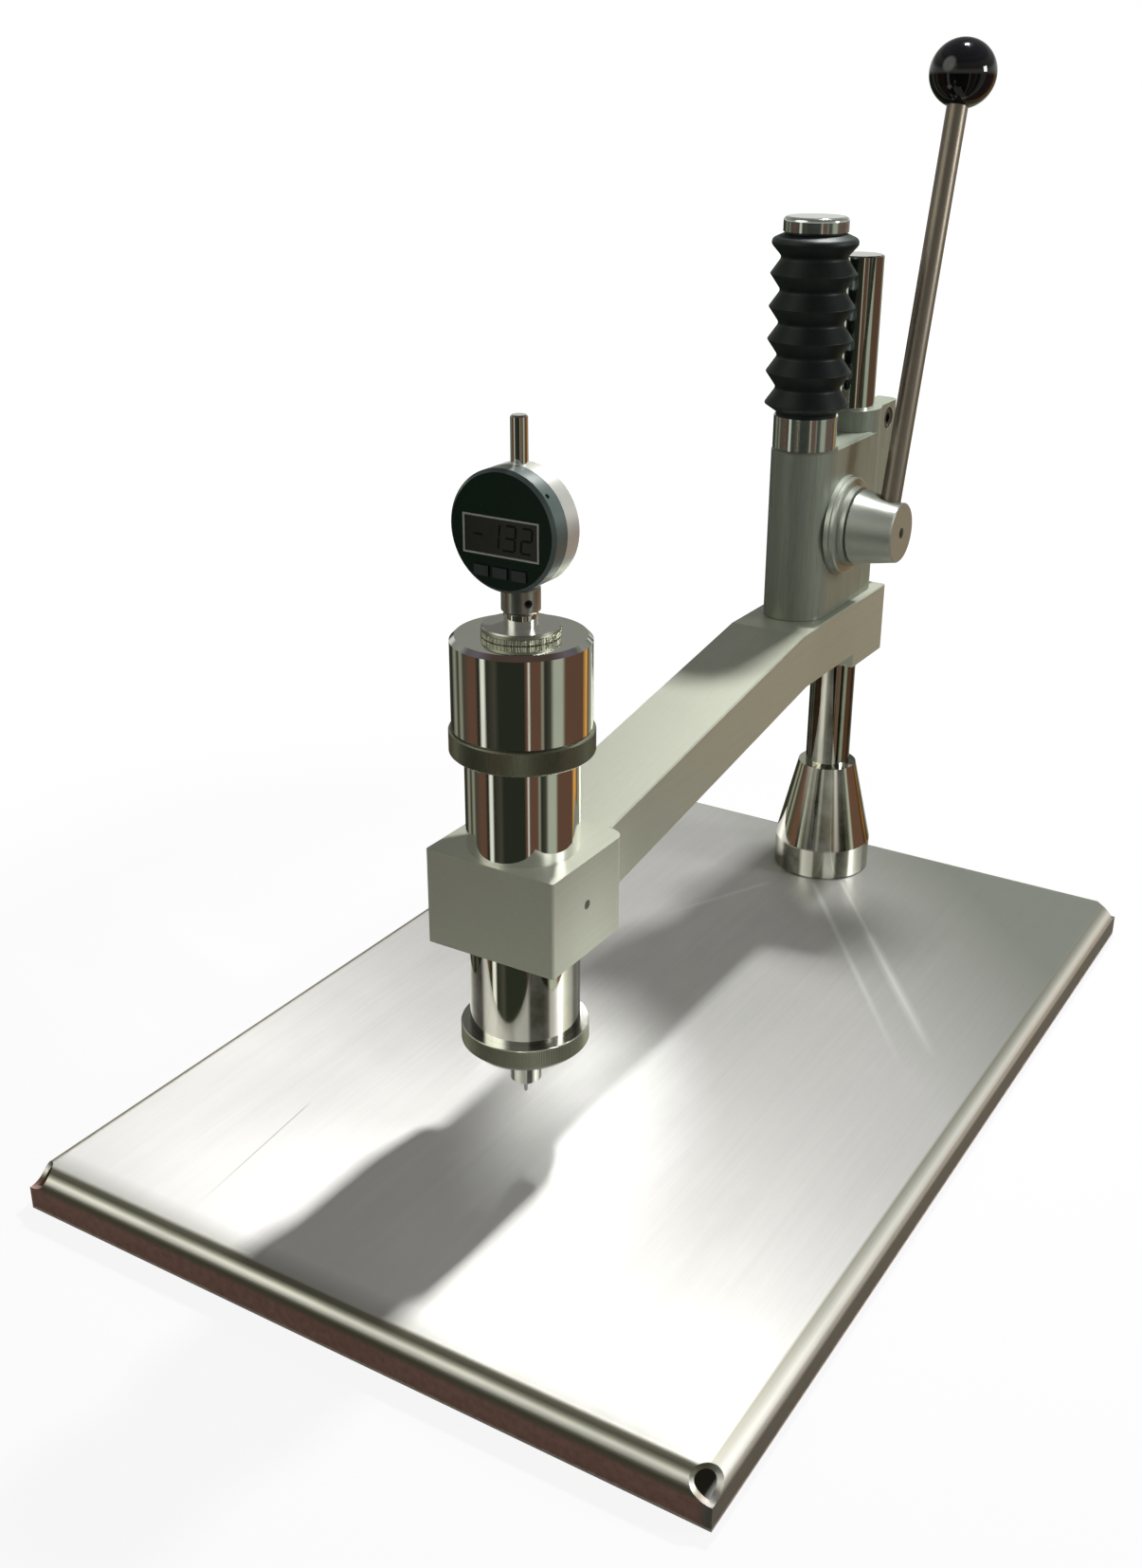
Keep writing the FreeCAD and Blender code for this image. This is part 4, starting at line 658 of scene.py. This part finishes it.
def rounded(corners, steps):
    """A line of points from corners of radius, height and rounding."""
    line = []
    for index, (radius, height, rounding) in enumerate(corners):
        corner = Vector((radius, height))
        if not rounding:
            line.append(corner)
            continue
        before = (Vector(corners[index - 1][:2]) - corner).normalized()
        after = (Vector(corners[index + 1][:2]) - corner).normalized()
        half = before.angle(after) / 2
        start = corner + before * (rounding / math.tan(half))
        centre = corner + (before + after).normalized() * (rounding / math.sin(half))
        turn = (before + after).normalized()
        arc = []
        for step in range(steps + 1):
            angle = (math.pi / 2 - half) * (2 * step / steps - 1)
            away = Vector((turn.y * math.sin(angle) - turn.x * math.cos(angle),
                           -turn.y * math.cos(angle) - turn.x * math.sin(angle)))
            arc.append(centre + away * rounding)
        if (arc[0] - start).length > (arc[-1] - start).length:
            arc.reverse()
        line += arc
    return [tuple(point) for point in line]


def turned_ring(name, node, slot, material, outline, ridges, body="arm_slide"):
    """A closed ring on a node's upright axis, which replaces the node and rides on a body.
    Its outline gives a radius, a height and the depth of the ridges at each step."""
    low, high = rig.box(node)
    middle = (low + high) / 2
    mesh = bmesh.new()
    bmesh.ops.create_circle(mesh, segments=2 * ridges, radius=1)
    loop = list(mesh.edges)
    for number, (radius, height, depth) in enumerate(outline):
        if number:
            grown = bmesh.ops.extrude_edge_only(mesh, edges=loop)["geom"]
            loop = [part for part in grown if isinstance(part, bmesh.types.BMEdge)]
        for vert in {vert for edge in loop for vert in edge.verts}:
            angle = math.atan2(vert.co.y, vert.co.x)
            groove = round(angle * ridges / math.pi) % 2
            away = Vector((math.cos(angle), math.sin(angle), 0))
            vert.co = away * (radius - groove * depth) + Vector((0, 0, height))
    ends = [edge for edge in mesh.edges if len(edge.link_faces) == 1]
    bmesh.ops.bridge_loops(mesh, edges=ends)
    bmesh.ops.translate(mesh, verts=mesh.verts, vec=(middle.x, middle.y, low.z))
    piece = new_piece(name, mesh, body, slot, material)
    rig.replaces(piece, node)
    return piece


def bar(mesh, centre, sizes):
    """One flat segment of a digit."""
    made = bmesh.ops.create_cube(mesh, size=1.0)["verts"]
    bmesh.ops.scale(mesh, verts=made, vec=sizes)
    bmesh.ops.translate(mesh, verts=made, vec=centre)
    return made


# The segments of each sign, clockwise from the top one, with g in the middle.
SEGMENTS = {
    "0": "abcdef", "1": "bc", "2": "abged", "3": "abgcd", "4": "fgbc",
    "5": "afgcd", "6": "afgcde", "7": "abc", "8": "abcdefg", "9": "abcdfg", "-": "g",
}
READING = "-132"


# Operators

class Step:
    """What every operator of the panel shares."""

    bl_options = {"REGISTER", "UNDO"}

    def execute(self, context):
        try:
            self.make(context.scene.durometer)
        except Exception as error:
            raise RuntimeError("%s failed: %s" % (self.bl_label, error)) from error
        return {"FINISHED"}


class DUROMETER_OT_base(Step, bpy.types.Operator):
    """Brush the folded plate and its rim, and paint shade, highlights and reflections on them"""

    bl_idname = "durometer.base"
    bl_label = "Base Plate"

    def make(self, look):
        base = look.base
        material, nodes, shader, where = start_material("brushed plate")
        grain = nodes.effect(brushed_grain(), {"Vector": where, "Fineness": (
            1 / base.grain_width, 1 / base.grain_length, 1 / base.grain_width)})
        haze = nodes.spread(nodes.noise(nodes.place(where, scale=(1, 0.45, 1)), 11.0, 5.0, 0.6),
                            0.35, 0.7)
        parts = nodes.add("ShaderNodeSeparateXYZ", {0: where}).outputs
        beside = nodes.spread(parts["X"], 0.192, 0.198)
        upward = nodes.add("ShaderNodeSeparateXYZ", {0: nodes.add(
            "ShaderNodeTexCoord").outputs["Normal"]}).outputs["Z"]
        # Painted highlights and painted shade along the bends, and a painted glint along the right one.
        bend = nodes.blend(nodes.math("MULTIPLY", beside, 0.6), nodes.ramp(upward, BEND_REFLECTIONS),
                           base.painted_glint_colour)
        plate = nodes.blend(nodes.spread(upward, 0.975, 0.998), bend,
                            self.top(base, nodes, where, parts["Y"], grain["Tone"], haze))
        rim = nodes.spread(parts["Z"], 0.0125, 0.0155, 1.0, 0.0)
        painted = nodes.blend(rim, plate, self.flange(base, nodes, where, beside))
        ragged = nodes.math("MULTIPLY", nodes.noise(where, 260.0), 0.0022)
        cut = nodes.spread(nodes.math("ADD", parts["Z"], ragged), 0.0022, 0.0030, 1.0, 0.0)
        painted = nodes.blend(cut, painted, base.cut_colour)
        across = nodes.add("ShaderNodeCombineXYZ", {"X": 1.0}).outputs[0]
        settle(nodes, shader, Metallic=0.68, Base_Color=painted, Anisotropic=0.78, Tangent=across,
               Roughness=nodes.spread(haze, 0, 1, base.roughness - 0.05, base.roughness + 0.07),
               Normal=relief(nodes, grain["Height"], 0.22, 0.0002))
        paint(material, "base_plate")

    def top(self, base, nodes, where, along, tone, haze):
        """The brushed upper face, with painted shade at its far corner and towards the front, and long marks: painted
        glare lines from the foot and a scratch.
        """
        top = nodes.blend(tone, shade(base.plate_colour, 0.92), shade(base.plate_colour, 1.08))
        top = nodes.blend(nodes.math("MULTIPLY", haze, 0.40), top, shade(base.plate_colour, 0.72))
        # Painted shade: the plate is coloured darker towards its far right corner.
        slope = nodes.dot(where, (1.0, 1.0, 0))
        top = nodes.blend(nodes.spread(slope, 0.18, 0.37, 0, 0.75), top, base.far_shade_colour)
        # Painted shade: the plate is coloured darker towards its front.
        top = nodes.blend(nodes.spread(along, -0.29, -0.12, 0.5, 0.0), top,
                          shade(base.plate_colour, 0.68))
        # Painted shade in a narrow strip beside the front bend.
        top = nodes.blend(nodes.spread(along, -0.290, -0.279, 0.6, 0.0), top, base.front_shade_colour)
        # Painted light from the foot as glare lines, and one scratch.
        for start, end, width, tint, share in GLARE_AND_SCRATCH:
            top = nodes.blend(nodes.math("MULTIPLY", nodes.line(where, start, end, width), share),
                              top, tint)
        return top

    def flange(self, base, nodes, where, beside):
        """The mottled outer face of the rim, in painted reflection tints: one all round and another at the right side.
        """
        flange = nodes.blend(beside, base.rim_reflection_colour, base.side_rim_reflection_colour)
        mottle = nodes.spread(nodes.noise(where, 240.0, 5.0, 0.65), 0.38, 0.66)
        return nodes.blend(nodes.math("MULTIPLY", mottle, 0.5), flange,
                           shade(base.rim_reflection_colour, 0.55))


class DUROMETER_OT_steel(Step, bpy.types.Operator):
    """Finish the column, the press housing, the ram and the small steel parts, with painted reflections on the tube,
    the nose, the foot and the column
    """

    bl_idname = "durometer.steel"
    bl_label = "Column and Press"

    def make(self, look):
        steel = look.steel
        paint(turned_metal("polished steel", steel.polished_colour, steel.polished_roughness,
                           (0, 0, 1), POLISH_LINES, 0.02, 0.03),
              "top_cup", "stem_sleeve", "spindle_guard", "gauge_stem")
        paint(self.painted_reflections(steel, "streaked tube steel", "head_tube", steel.tube_reflections_height,
                            TUBE_REFLECTIONS, even(steel.polished_colour)), "head_tube", "nose")
        paint(self.painted_reflections(steel, "streaked foot steel", "column_foot", steel.foot_rim, FOOT_RIM_REFLECTIONS,
                            FOOT_CONE_REFLECTIONS), "column_foot")
        under_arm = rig.box("arm_bush")[0].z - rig.box("column")[0].z
        paint(self.painted_reflections(steel, "streaked column steel", "column", under_arm + steel.in_arm,
                            COLUMN_REFLECTIONS, even(steel.column_colour)), "column")
        paint(turned_metal("polished column steel", steel.column_colour, 0.09, (0, 0, 1),
                           POLISH_LINES, 0.02, 0.03, 0.9), "guide_ring", "ram_cap")
        paint(turned_metal("satin steel", steel.satin_colour, 0.28, (0, 0, 1), 3000, 0.12),
              "foot_washer", "ram", "lock_disc", "stem_collar", "needle", "plunger", "spindle",
              "button_cell", "return_spring", "main_spring")
        paint(turned_metal("satin hub steel", steel.hub_colour, 0.34, (1, 0, 0), 3000, 0.10, 0.06,
                           0.6),
              "bearing_flange", "left_cap", "lever_hub", "pinion_shaft", "hub_key")
        paint(grained_metal("ground housing steel", steel.housing_colour, 0.38,
                            (900, 900, 40), 0.12, 0.26, 0.30), "press_housing")
        paint(grained_metal("drawn rod steel", steel.rod_colour, 0.36, (1500, 1500, 25), 0.06, 0.08,
                            0.5), "lever_rod")
        paint(turned_metal("bearing bronze", steel.bronze_colour, 0.30, (0, 0, 1)),
              "right_bush", "left_bush", "arm_bush", "lower_guide", "upper_guide")
        paint(moulded("blackened screws", steel.screw_colour, 0.35, 2500, 0.1, 0.02),
              "foot_bolt", "lower_clamp_screw", "upper_clamp_screw", "ram_screw", "grub_screw",
              "collar_screw")

    def painted_reflections(self, steel, name, node, tall, lower, upper):
        """Polished steel with painted reflections: upright light and dark bands up to a height on a node, and others
        above it, set by the angle towards the camera.
        """
        material, nodes, shader, where = start_material(name)
        marks = nodes.effect(turned_marks(), {"Vector": where, "Axis": (0, 0, 1),
                                              "Lines": POLISH_LINES})
        low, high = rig.box(node)
        middle = (low + high) / 2
        parts = nodes.add("ShaderNodeSeparateXYZ",
                          {0: nodes.place(where, (-middle.x, -middle.y, 0))}).outputs
        across = nodes.round_about(parts)
        above = nodes.spread(parts["Z"], low.z + tall - 0.001, low.z + tall + 0.001)
        base = nodes.blend(above, nodes.ramp(across, lower, on_cylinder),
                           nodes.ramp(across, upper, on_cylinder))
        settle(nodes, shader, Metallic=1.0,
               Base_Color=nodes.blend(nodes.math("MULTIPLY", marks["Smudge"], 0.3), base,
                                      shade(steel.polished_colour, 0.93)),
               Roughness=nodes.spread(marks["Smudge"], 0, 1, steel.polished_roughness,
                                      steel.polished_roughness + 0.06),
               Normal=relief(nodes, marks["Height"], 0.02, 0.0001))
        return material


class DUROMETER_OT_arm(Step, bpy.types.Operator):
    """Grind the faces of the cranked arm"""

    bl_idname = "durometer.arm"
    bl_label = "Arm"

    def make(self, look):
        arm = look.arm
        paint(grained_metal("ground arm metal", arm.arm_colour, arm.roughness,
                            (1 / arm.grain_width, 1 / arm.grain_length, 1 / arm.grain_width),
                            0.10, 0.07, 0.55), "arm")


class DUROMETER_OT_bellows(Step, bpy.types.Operator):
    """Finish the rubber bellows and the ball knob"""

    bl_idname = "durometer.bellows"
    bl_label = "Bellows and Knob"

    def make(self, look):
        soft = look.soft
        rubber = moulded("moulded rubber", soft.rubber_colour, 0.48, 900, 0.12, 0.006, 0.0, 0.28)
        self.folds(soft, rubber)
        self.spring("return_spring", "stand", "ram_travel", 0)
        self.spring("main_spring", "arm_slide", "indenter_travel", 1)
        paint(moulded("glossy knob plastic", soft.knob_colour, 0.05, 300, 0.01, 0.002, 0.3, 0.25),
              "lever_knob")

    def folds(self, soft, material):
        """The bellows, from a rounded lip at the top down to the neck, pressed flat by the ram."""
        low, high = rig.box("bellows")
        tall, outer = high.z - low.z, (high.x - low.x) / 2
        pitch = (tall - soft.first_fold - soft.last_fold) / (soft.folds - 1)
        end = outer - soft.end_step
        corners = [(end, 0, 0), (end, 0.002, 0.001)]
        for fold in range(soft.folds):
            top = fold == soft.folds - 1
            height = soft.first_fold + fold * pitch
            if fold:
                corners.append((soft.valley, height - pitch / 2, 0.0025))
            corners.append((outer + (0.0020 if top else 0), height,
                            soft.lip_round if top else soft.fold_round))
        corners += [(end, tall - 0.001, 0.0005), (end, tall, 0)]
        outside = rounded(corners, 5)
        inside = [(radius - soft.wall, height) for radius, height in reversed(outside)]
        outline = [(min(radius, outer), height, 0) for radius, height in outside + inside]
        piece = turned_ring("bellows_folds", "bellows", "bellows_rubber", material, outline, 48,
                            "stand")
        piece.data.shade_smooth()
        piece.data.set_sharp_from_angle(angle=math.radians(60))
        middle = (low + high) / 2
        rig.squash(piece, "ram_travel", axis=(0, 0, 1), anchor=(middle.x, middle.y, low.z),
                  keep=1 - travel("ram_travel") / tall)

    def spring(self, node, body, joint, end):
        """A spring that shortens towards one end, at 0 the lower and at 1 the upper."""
        low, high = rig.box(node)
        piece = bpy.data.objects.new(node + "_coil", NODES[node].data.copy())
        bpy.context.scene.collection.objects.link(piece)
        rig.ride(piece, body)
        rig.slot(piece, "spring_steel")
        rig.replaces(piece, node)
        middle = (low + high) / 2
        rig.squash(piece, joint, axis=(0, 0, 1), anchor=(middle.x, middle.y, (low.z, high.z)[end]),
                  keep=1 - travel(joint) / (high.z - low.z))


class DUROMETER_OT_knurls(Step, bpy.types.Operator):
    """Cut the straight knurling of the rings"""

    bl_idname = "durometer.knurls"
    bl_label = "Knurled Rings"

    def make(self, look):
        knurl = look.knurl
        dark = turned_metal("dark knurled steel", look.steel.knurl_colour, 0.38, (0, 0, 1),
                            2500, 0.05)
        disc = self.two_finishes("satin and knurled steel", "lock_disc",
                                 (shade(look.steel.satin_colour, 0.85), look.steel.knurl_colour),
                                 (0.30, 0.45))
        ring = self.two_finishes("turned and knurled steel", "bottom_ring",
                                 (look.steel.satin_colour, look.steel.knurl_colour), (0.20, 0.36))
        low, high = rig.box("head_tube")
        seat = (high.x - low.x) / 2 + knurl.seat_gap
        self.cup_ring(knurl, dark, seat)
        self.lock_disc(knurl, disc)
        self.bottom_ring(knurl, ring, seat)

    def two_finishes(self, name, node, tints, roughness):
        """Bright on the turned faces of a node's ring and dull on its knurled band."""
        material, nodes, shader, where = start_material(name)
        low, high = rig.box(node)
        middle = (low + high) / 2
        moved = nodes.place(where, (-middle.x, -middle.y, 0))
        flat = nodes.add("ShaderNodeVectorMath", {0: moved, 1: (1, 1, 0)}, operation="MULTIPLY")
        radius = nodes.add("ShaderNodeVectorMath", {0: flat.outputs[0]}, operation="LENGTH")
        band = nodes.spread(radius.outputs["Value"], (high.x - low.x) / 2 - 0.0005,
                            (high.x - low.x) / 2 - 0.0003)
        stain = nodes.noise(where, 90.0)
        settle(nodes, shader, Metallic=1.0,
               Base_Color=nodes.blend(band, *tints),
               Roughness=nodes.spread(band, 0, 1, *roughness),
               Normal=relief(nodes, stain, 0.02, 0.0001))
        return material

    def cup_ring(self, knurl, material, seat):
        """The knurled ring under the head's cup."""
        low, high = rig.box("cup_ring")
        outer, height, cut = (high.x - low.x) / 2, high.z - low.z, knurl.depth
        turned_ring("cup_ring_knurl", "cup_ring", "knurled_steel", material, (
            (seat, 0, 0), (outer - 0.0008, 0, 0), (outer - 0.0002, 0.0006, 0),
            (outer, 0.0008, cut), (outer, height - 0.0008, cut),
            (outer - 0.0002, height - 0.0006, 0), (outer - 0.0008, height, 0),
            (seat, height, 0)), round(2 * math.pi * outer / knurl.pitch))

    def lock_disc(self, knurl, material):
        """The thin disc on top of the cup, knurled on its lower half."""
        low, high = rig.box("lock_disc")
        outer, height, cut = (high.x - low.x) / 2, high.z - low.z, knurl.depth * 0.8
        bore = knurl.disc_bore
        turned_ring("lock_disc_knurl", "lock_disc", "satin_steel", material, (
            (bore, 0, 0), (outer - 0.0006, 0, 0), (outer, 0.0004, cut),
            (outer, 0.0028, cut), (outer - 0.0003, 0.0029, 0), (outer - 0.0003, 0.0042, 0),
            (outer - 0.0008, height, 0), (bore, height, 0)),
            round(2 * math.pi * outer / knurl.pitch))

    def bottom_ring(self, knurl, material, seat):
        """The ring round the nose, with a floor under the tube."""
        low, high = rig.box("bottom_ring")
        outer, height, cut = (high.x - low.x) / 2, high.z - low.z, knurl.depth
        nose = knurl.nose_bore
        turned_ring("bottom_ring_knurl", "bottom_ring", "knurled_steel", material, (
            (nose, 0, 0), (outer - 0.003, 0, 0), (outer - 0.0006, 0.0027, 0),
            (outer, 0.0031, cut), (outer, height - 0.0006, cut), (outer - 0.0006, height, 0),
            (seat, height, 0), (seat, 0.006, 0), (nose, 0.006, 0)),
            round(2 * math.pi * outer / knurl.pitch))


class DUROMETER_OT_indicator(Step, bpy.types.Operator):
    """Finish the indicator and write a reading on its display"""

    bl_idname = "durometer.indicator"
    bl_label = "Indicator"

    def make(self, look):
        gauge = look.indicator
        paint(grained_metal("blasted silver case", gauge.silver_colour, 0.30, (1500, 1500, 1500),
                            0.015, 0.04, 0.38), "gauge_case", "gauge_back_cover")
        paint(moulded("slate bezel plastic", gauge.slate_colour, 0.30, 1800, 0.10, 0.010),
              "gauge_bezel")
        paint(moulded("black face plastic", gauge.face_colour, 0.22, 1800, 0.03, 0.003, 0.0, 0.12),
              "gauge_face")
        paint(moulded("pale display frame", gauge.frame_colour, 0.25, 1800, 0.05, 0.02),
              "display_frame")
        paint(moulded("dark display glass", gauge.glass_colour, 0.10, 500, 0.01, 0.004, 0.0, 0.2),
              "display_panel")
        paint(moulded("rubber key plastic", gauge.key_colour, 0.50, 1800, 0.10, 0.02),
              "left_key", "middle_key", "right_key")
        paint(moulded("board laminate", (0.01, 0.07, 0.03), 0.40), "circuit_board")
        self.write_reading(gauge)

    def write_reading(self, gauge):
        """Seven-segment digits that lie just in front of the display's panel."""
        low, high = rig.box("display_panel")
        front = low.y - 0.00015
        middle_z = (low.z + high.z) / 2
        width, tall, line = gauge.digit_width, gauge.digit_height, gauge.segment
        spots = {
            "a": (0, tall / 2, width, line), "d": (0, -tall / 2, width, line),
            "g": (0, 0, width, line), "f": (-width / 2, tall / 4, line, tall / 2),
            "b": (width / 2, tall / 4, line, tall / 2),
            "e": (-width / 2, -tall / 4, line, tall / 2),
            "c": (width / 2, -tall / 4, line, tall / 2),
        }
        mesh = bmesh.new()
        pitch = gauge.pitch * width
        start = (low.x + high.x) / 2 - 2.35 * width
        for index, sign in enumerate(READING):
            for name in SEGMENTS[sign]:
                across, up, wide, long = spots[name]
                gap = line * 0.9
                made = bar(mesh, (start + index * pitch + across, front, middle_z + up),
                           (max(wide - gap, line), 0.0001, max(long - gap, line)))
                for vert in made:
                    vert.co.x += (vert.co.z - middle_z) * gauge.slant
        bar(mesh, (start + 1.5 * pitch + width * 0.15, front, middle_z - tall / 2),
            (line, 0.0001, line))
        ink = moulded("display ink", gauge.digit_colour, 0.3, 1500, 0.0, 0.0, 0.0, 0.12)
        new_piece("display_digits", mesh, "arm_slide", "display_dark", ink)


class DUROMETER_OT_stage(Step, bpy.types.Operator):
    """Set the floor, the soft lights, the surroundings and the camera"""

    bl_idname = "durometer.stage"
    bl_label = "Stage"

    def make(self, look):
        self.floor(look.stage)
        self.lights(look.stage)
        self.surroundings(look.stage)
        self.camera()
        bpy.context.scene.view_settings.view_transform = "Standard"

    def floor(self, stage):
        """A pale floor that keeps the object's shadow, and shines white where the camera
        sees it away from the object."""
        mesh = bmesh.new()
        bmesh.ops.create_grid(mesh, x_segments=1, y_segments=1, size=12)
        data = bpy.data.meshes.new("floor")
        mesh.to_mesh(data)
        mesh.free()
        floor = bpy.data.objects.new("floor", data)
        floor.location = (0, 0, -0.0005)
        floor.visible_glossy = False
        bpy.context.scene.collection.objects.link(floor)
        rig.stage(floor)
        material, nodes, shader, where = start_material("pale floor")
        settle(nodes, shader, Base_Color=stage.floor_colour, Roughness=0.9)
        glow = nodes.add("ShaderNodeEmission", {"Color": (1, 1, 1), "Strength": 1.12}).outputs[0]
        rays = nodes.add("ShaderNodeLightPath").outputs
        away = nodes.add("ShaderNodeVectorMath", {0: where}, operation="LENGTH").outputs["Value"]
        across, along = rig.box("base_plate")[1].xy
        parts = nodes.add("ShaderNodeSeparateXYZ", {0: where}).outputs
        beside = nodes.spread(nodes.math("ABSOLUTE", parts["X"]), across - 0.012, across - 0.002)
        before = nodes.spread(nodes.math("ABSOLUTE", parts["Y"]), along - 0.012, along - 0.002)
        outside = nodes.math("MAXIMUM", beside, before)
        share = nodes.math("MULTIPLY", nodes.math("MULTIPLY", rays["Is Camera Ray"], outside),
                           nodes.spread(away, 0.45, 1.1, 0.80, 1.0))
        mixed = nodes.add("ShaderNodeMixShader", {0: share, 1: shader.outputs[0], 2: glow})
        out = material.node_tree.nodes["Material Output"]
        nodes.tree.links.new(mixed.outputs[0], out.inputs[0])
        data.materials.append(material)

    def lights(self, stage):
        """Two lamps that light all of it, a weak one in front and two narrow ones."""
        def lamp(name, kind, place, aim, watts, **settings):
            data = bpy.data.lights.new(name, kind)
            data.energy = watts
            for setting, value in settings.items():
                setattr(data, setting, value)
            made = bpy.data.objects.new(name, data)
            made.location = place
            made.rotation_euler = (Vector(aim) - Vector(place)).to_track_quat("-Z", "Y").to_euler()
            bpy.context.scene.collection.objects.link(made)

        def soft_light(name, place, aim, sizes, watts):
            lamp(name, "AREA", place, aim, watts, shape="RECTANGLE", size=sizes[0],
                 size_y=sizes[1])

        def spot_light(name, place, aim, degrees, watts):
            lamp(name, "SPOT", place, aim, watts, spot_size=math.radians(degrees),
                 spot_blend=1.0, shadow_soft_size=0.04)

        soft_light("back_light", (0.045, 0.376, 1.016), (0, -0.15, 0.03), (0.055, 0.055),
                   stage.back_power)
        soft_light("side_light", (1.68, 0.55, 0.85), (0, -0.05, 0.15), (0.4, 0.4),
                   stage.side_power)
        spot_light("fill_light", (-0.70, 1.10, 0.86), (0.012, -0.094, 0.025), 3.6,
                   stage.fill_power)
        spot_light("block_light", (1.2, -0.30, 0.55), (0.037, -0.13, 0.144), 5.5,
                   stage.block_power)
        soft_light("front_light", (-0.6, -1.8, 1.3), (0, 0, 0.2), (1.2, 0.8), stage.front_power)

    def surroundings(self, stage):
        """Even light for dull surfaces, and a darker room that polished ones show."""
        world = bpy.data.worlds.new("studio")
        bpy.context.scene.world = world
        world.use_nodes = True
        world.node_tree.nodes.clear()
        nodes = Nodes(world.node_tree)
        rays = nodes.add("ShaderNodeLightPath").outputs
        white = nodes.add("ShaderNodeBackground", {"Color": (1, 1, 1), "Strength": 1.0})
        even = nodes.add("ShaderNodeBackground", {"Color": (0.97, 0.98, 1.0),
                                                  "Strength": stage.ambient})
        way = nodes.add("ShaderNodeTexCoord").outputs["Generated"]
        parts = nodes.add("ShaderNodeSeparateXYZ", {0: way}).outputs
        bands = nodes.ramp(nodes.round_about(parts), ROOM, mirrored)
        sky = nodes.ramp(parts["Z"], SKY)
        above = nodes.spread(parts["Z"], -0.05, 0.06)
        aside = nodes.dot(way, (-0.53, -0.72, 0.45))
        overhead = nodes.blend(nodes.spread(aside, 0.90, 0.96), sky, (2.2, 2.2, 2.0))
        seen = nodes.blend(above, bands, overhead)
        room = nodes.add("ShaderNodeBackground", {"Color": seen, "Strength": 1.0})
        dull = nodes.add("ShaderNodeMixShader", {0: rays["Is Glossy Ray"], 1: even.outputs[0],
                                                 2: room.outputs[0]})
        mixed = nodes.add("ShaderNodeMixShader", {0: rays["Is Camera Ray"], 1: dull.outputs[0],
                                                  2: white.outputs[0]})
        out = nodes.add("ShaderNodeOutputWorld")
        nodes.tree.links.new(mixed.outputs[0], out.inputs[0])

    def camera(self):
        """The photograph's place, direction and lens, with its middle a little off."""
        data = bpy.data.cameras.new("camera")
        data.sensor_fit = "AUTO"
        data.sensor_width = 36
        data.lens = FOCUS / FRAME_HEIGHT * data.sensor_width
        shift = (LENS_MIDDLE - FRAME_MIDDLE) / FRAME_HEIGHT
        data.shift_x, data.shift_y = -shift.x, shift.y
        data.clip_start = 0.01
        camera = bpy.data.objects.new("camera", data)
        turn = Matrix((CAMERA_RIGHT, CAMERA_UP, -CAMERA_AHEAD)).transposed().to_4x4()
        camera.matrix_world = Matrix.Translation(CAMERA_PLACE) @ turn
        bpy.context.scene.collection.objects.link(camera)
        bpy.context.scene.camera = camera


STEPS = (
    DUROMETER_OT_stage,
    DUROMETER_OT_base,
    DUROMETER_OT_steel,
    DUROMETER_OT_arm,
    DUROMETER_OT_bellows,
    DUROMETER_OT_knurls,
    DUROMETER_OT_indicator,
)


class DUROMETER_PT_sidebar(bpy.types.Panel):
    """The durometer's finishes, sizes and steps"""

    bl_label = "Durometer"
    bl_idname = "DUROMETER_PT_sidebar"
    bl_space_type = "VIEW_3D"
    bl_region_type = "UI"
    bl_category = "Durometer"

    def draw(self, context):
        look = context.scene.durometer
        for group in look.bl_rna.properties.keys():
            if group in ("rna_type", "name"):
                continue
            box = self.layout.box()
            box.label(text=look.bl_rna.properties[group].name)
            part = getattr(look, group)
            for name in type(part).__annotations__:
                box.prop(part, name)
        for step in STEPS:
            self.layout.operator(step.bl_idname)


CLASSES = (
    BaseLook, SteelLook, ArmLook, SoftLook, KnurlSizes, IndicatorLook, StageLook,
    DurometerProperties, *STEPS, DUROMETER_PT_sidebar,
)


def register():
    for made in CLASSES:
        bpy.utils.register_class(made)
    bpy.types.Scene.durometer = PointerProperty(type=DurometerProperties)


def unregister():
    del bpy.types.Scene.durometer
    for made in reversed(CLASSES):
        bpy.utils.unregister_class(made)


def main():
    register()
    for step in STEPS:
        section, name = step.bl_idname.split(".")
        getattr(getattr(bpy.ops, section), name)()
    with open("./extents.json", "w") as file:
        json.dump({"cad": [list(corner) for corner in CAD_BOX],
                   "visual": [list(corner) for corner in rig.bounds()]}, file)


if __name__ == "__main__":
    main()
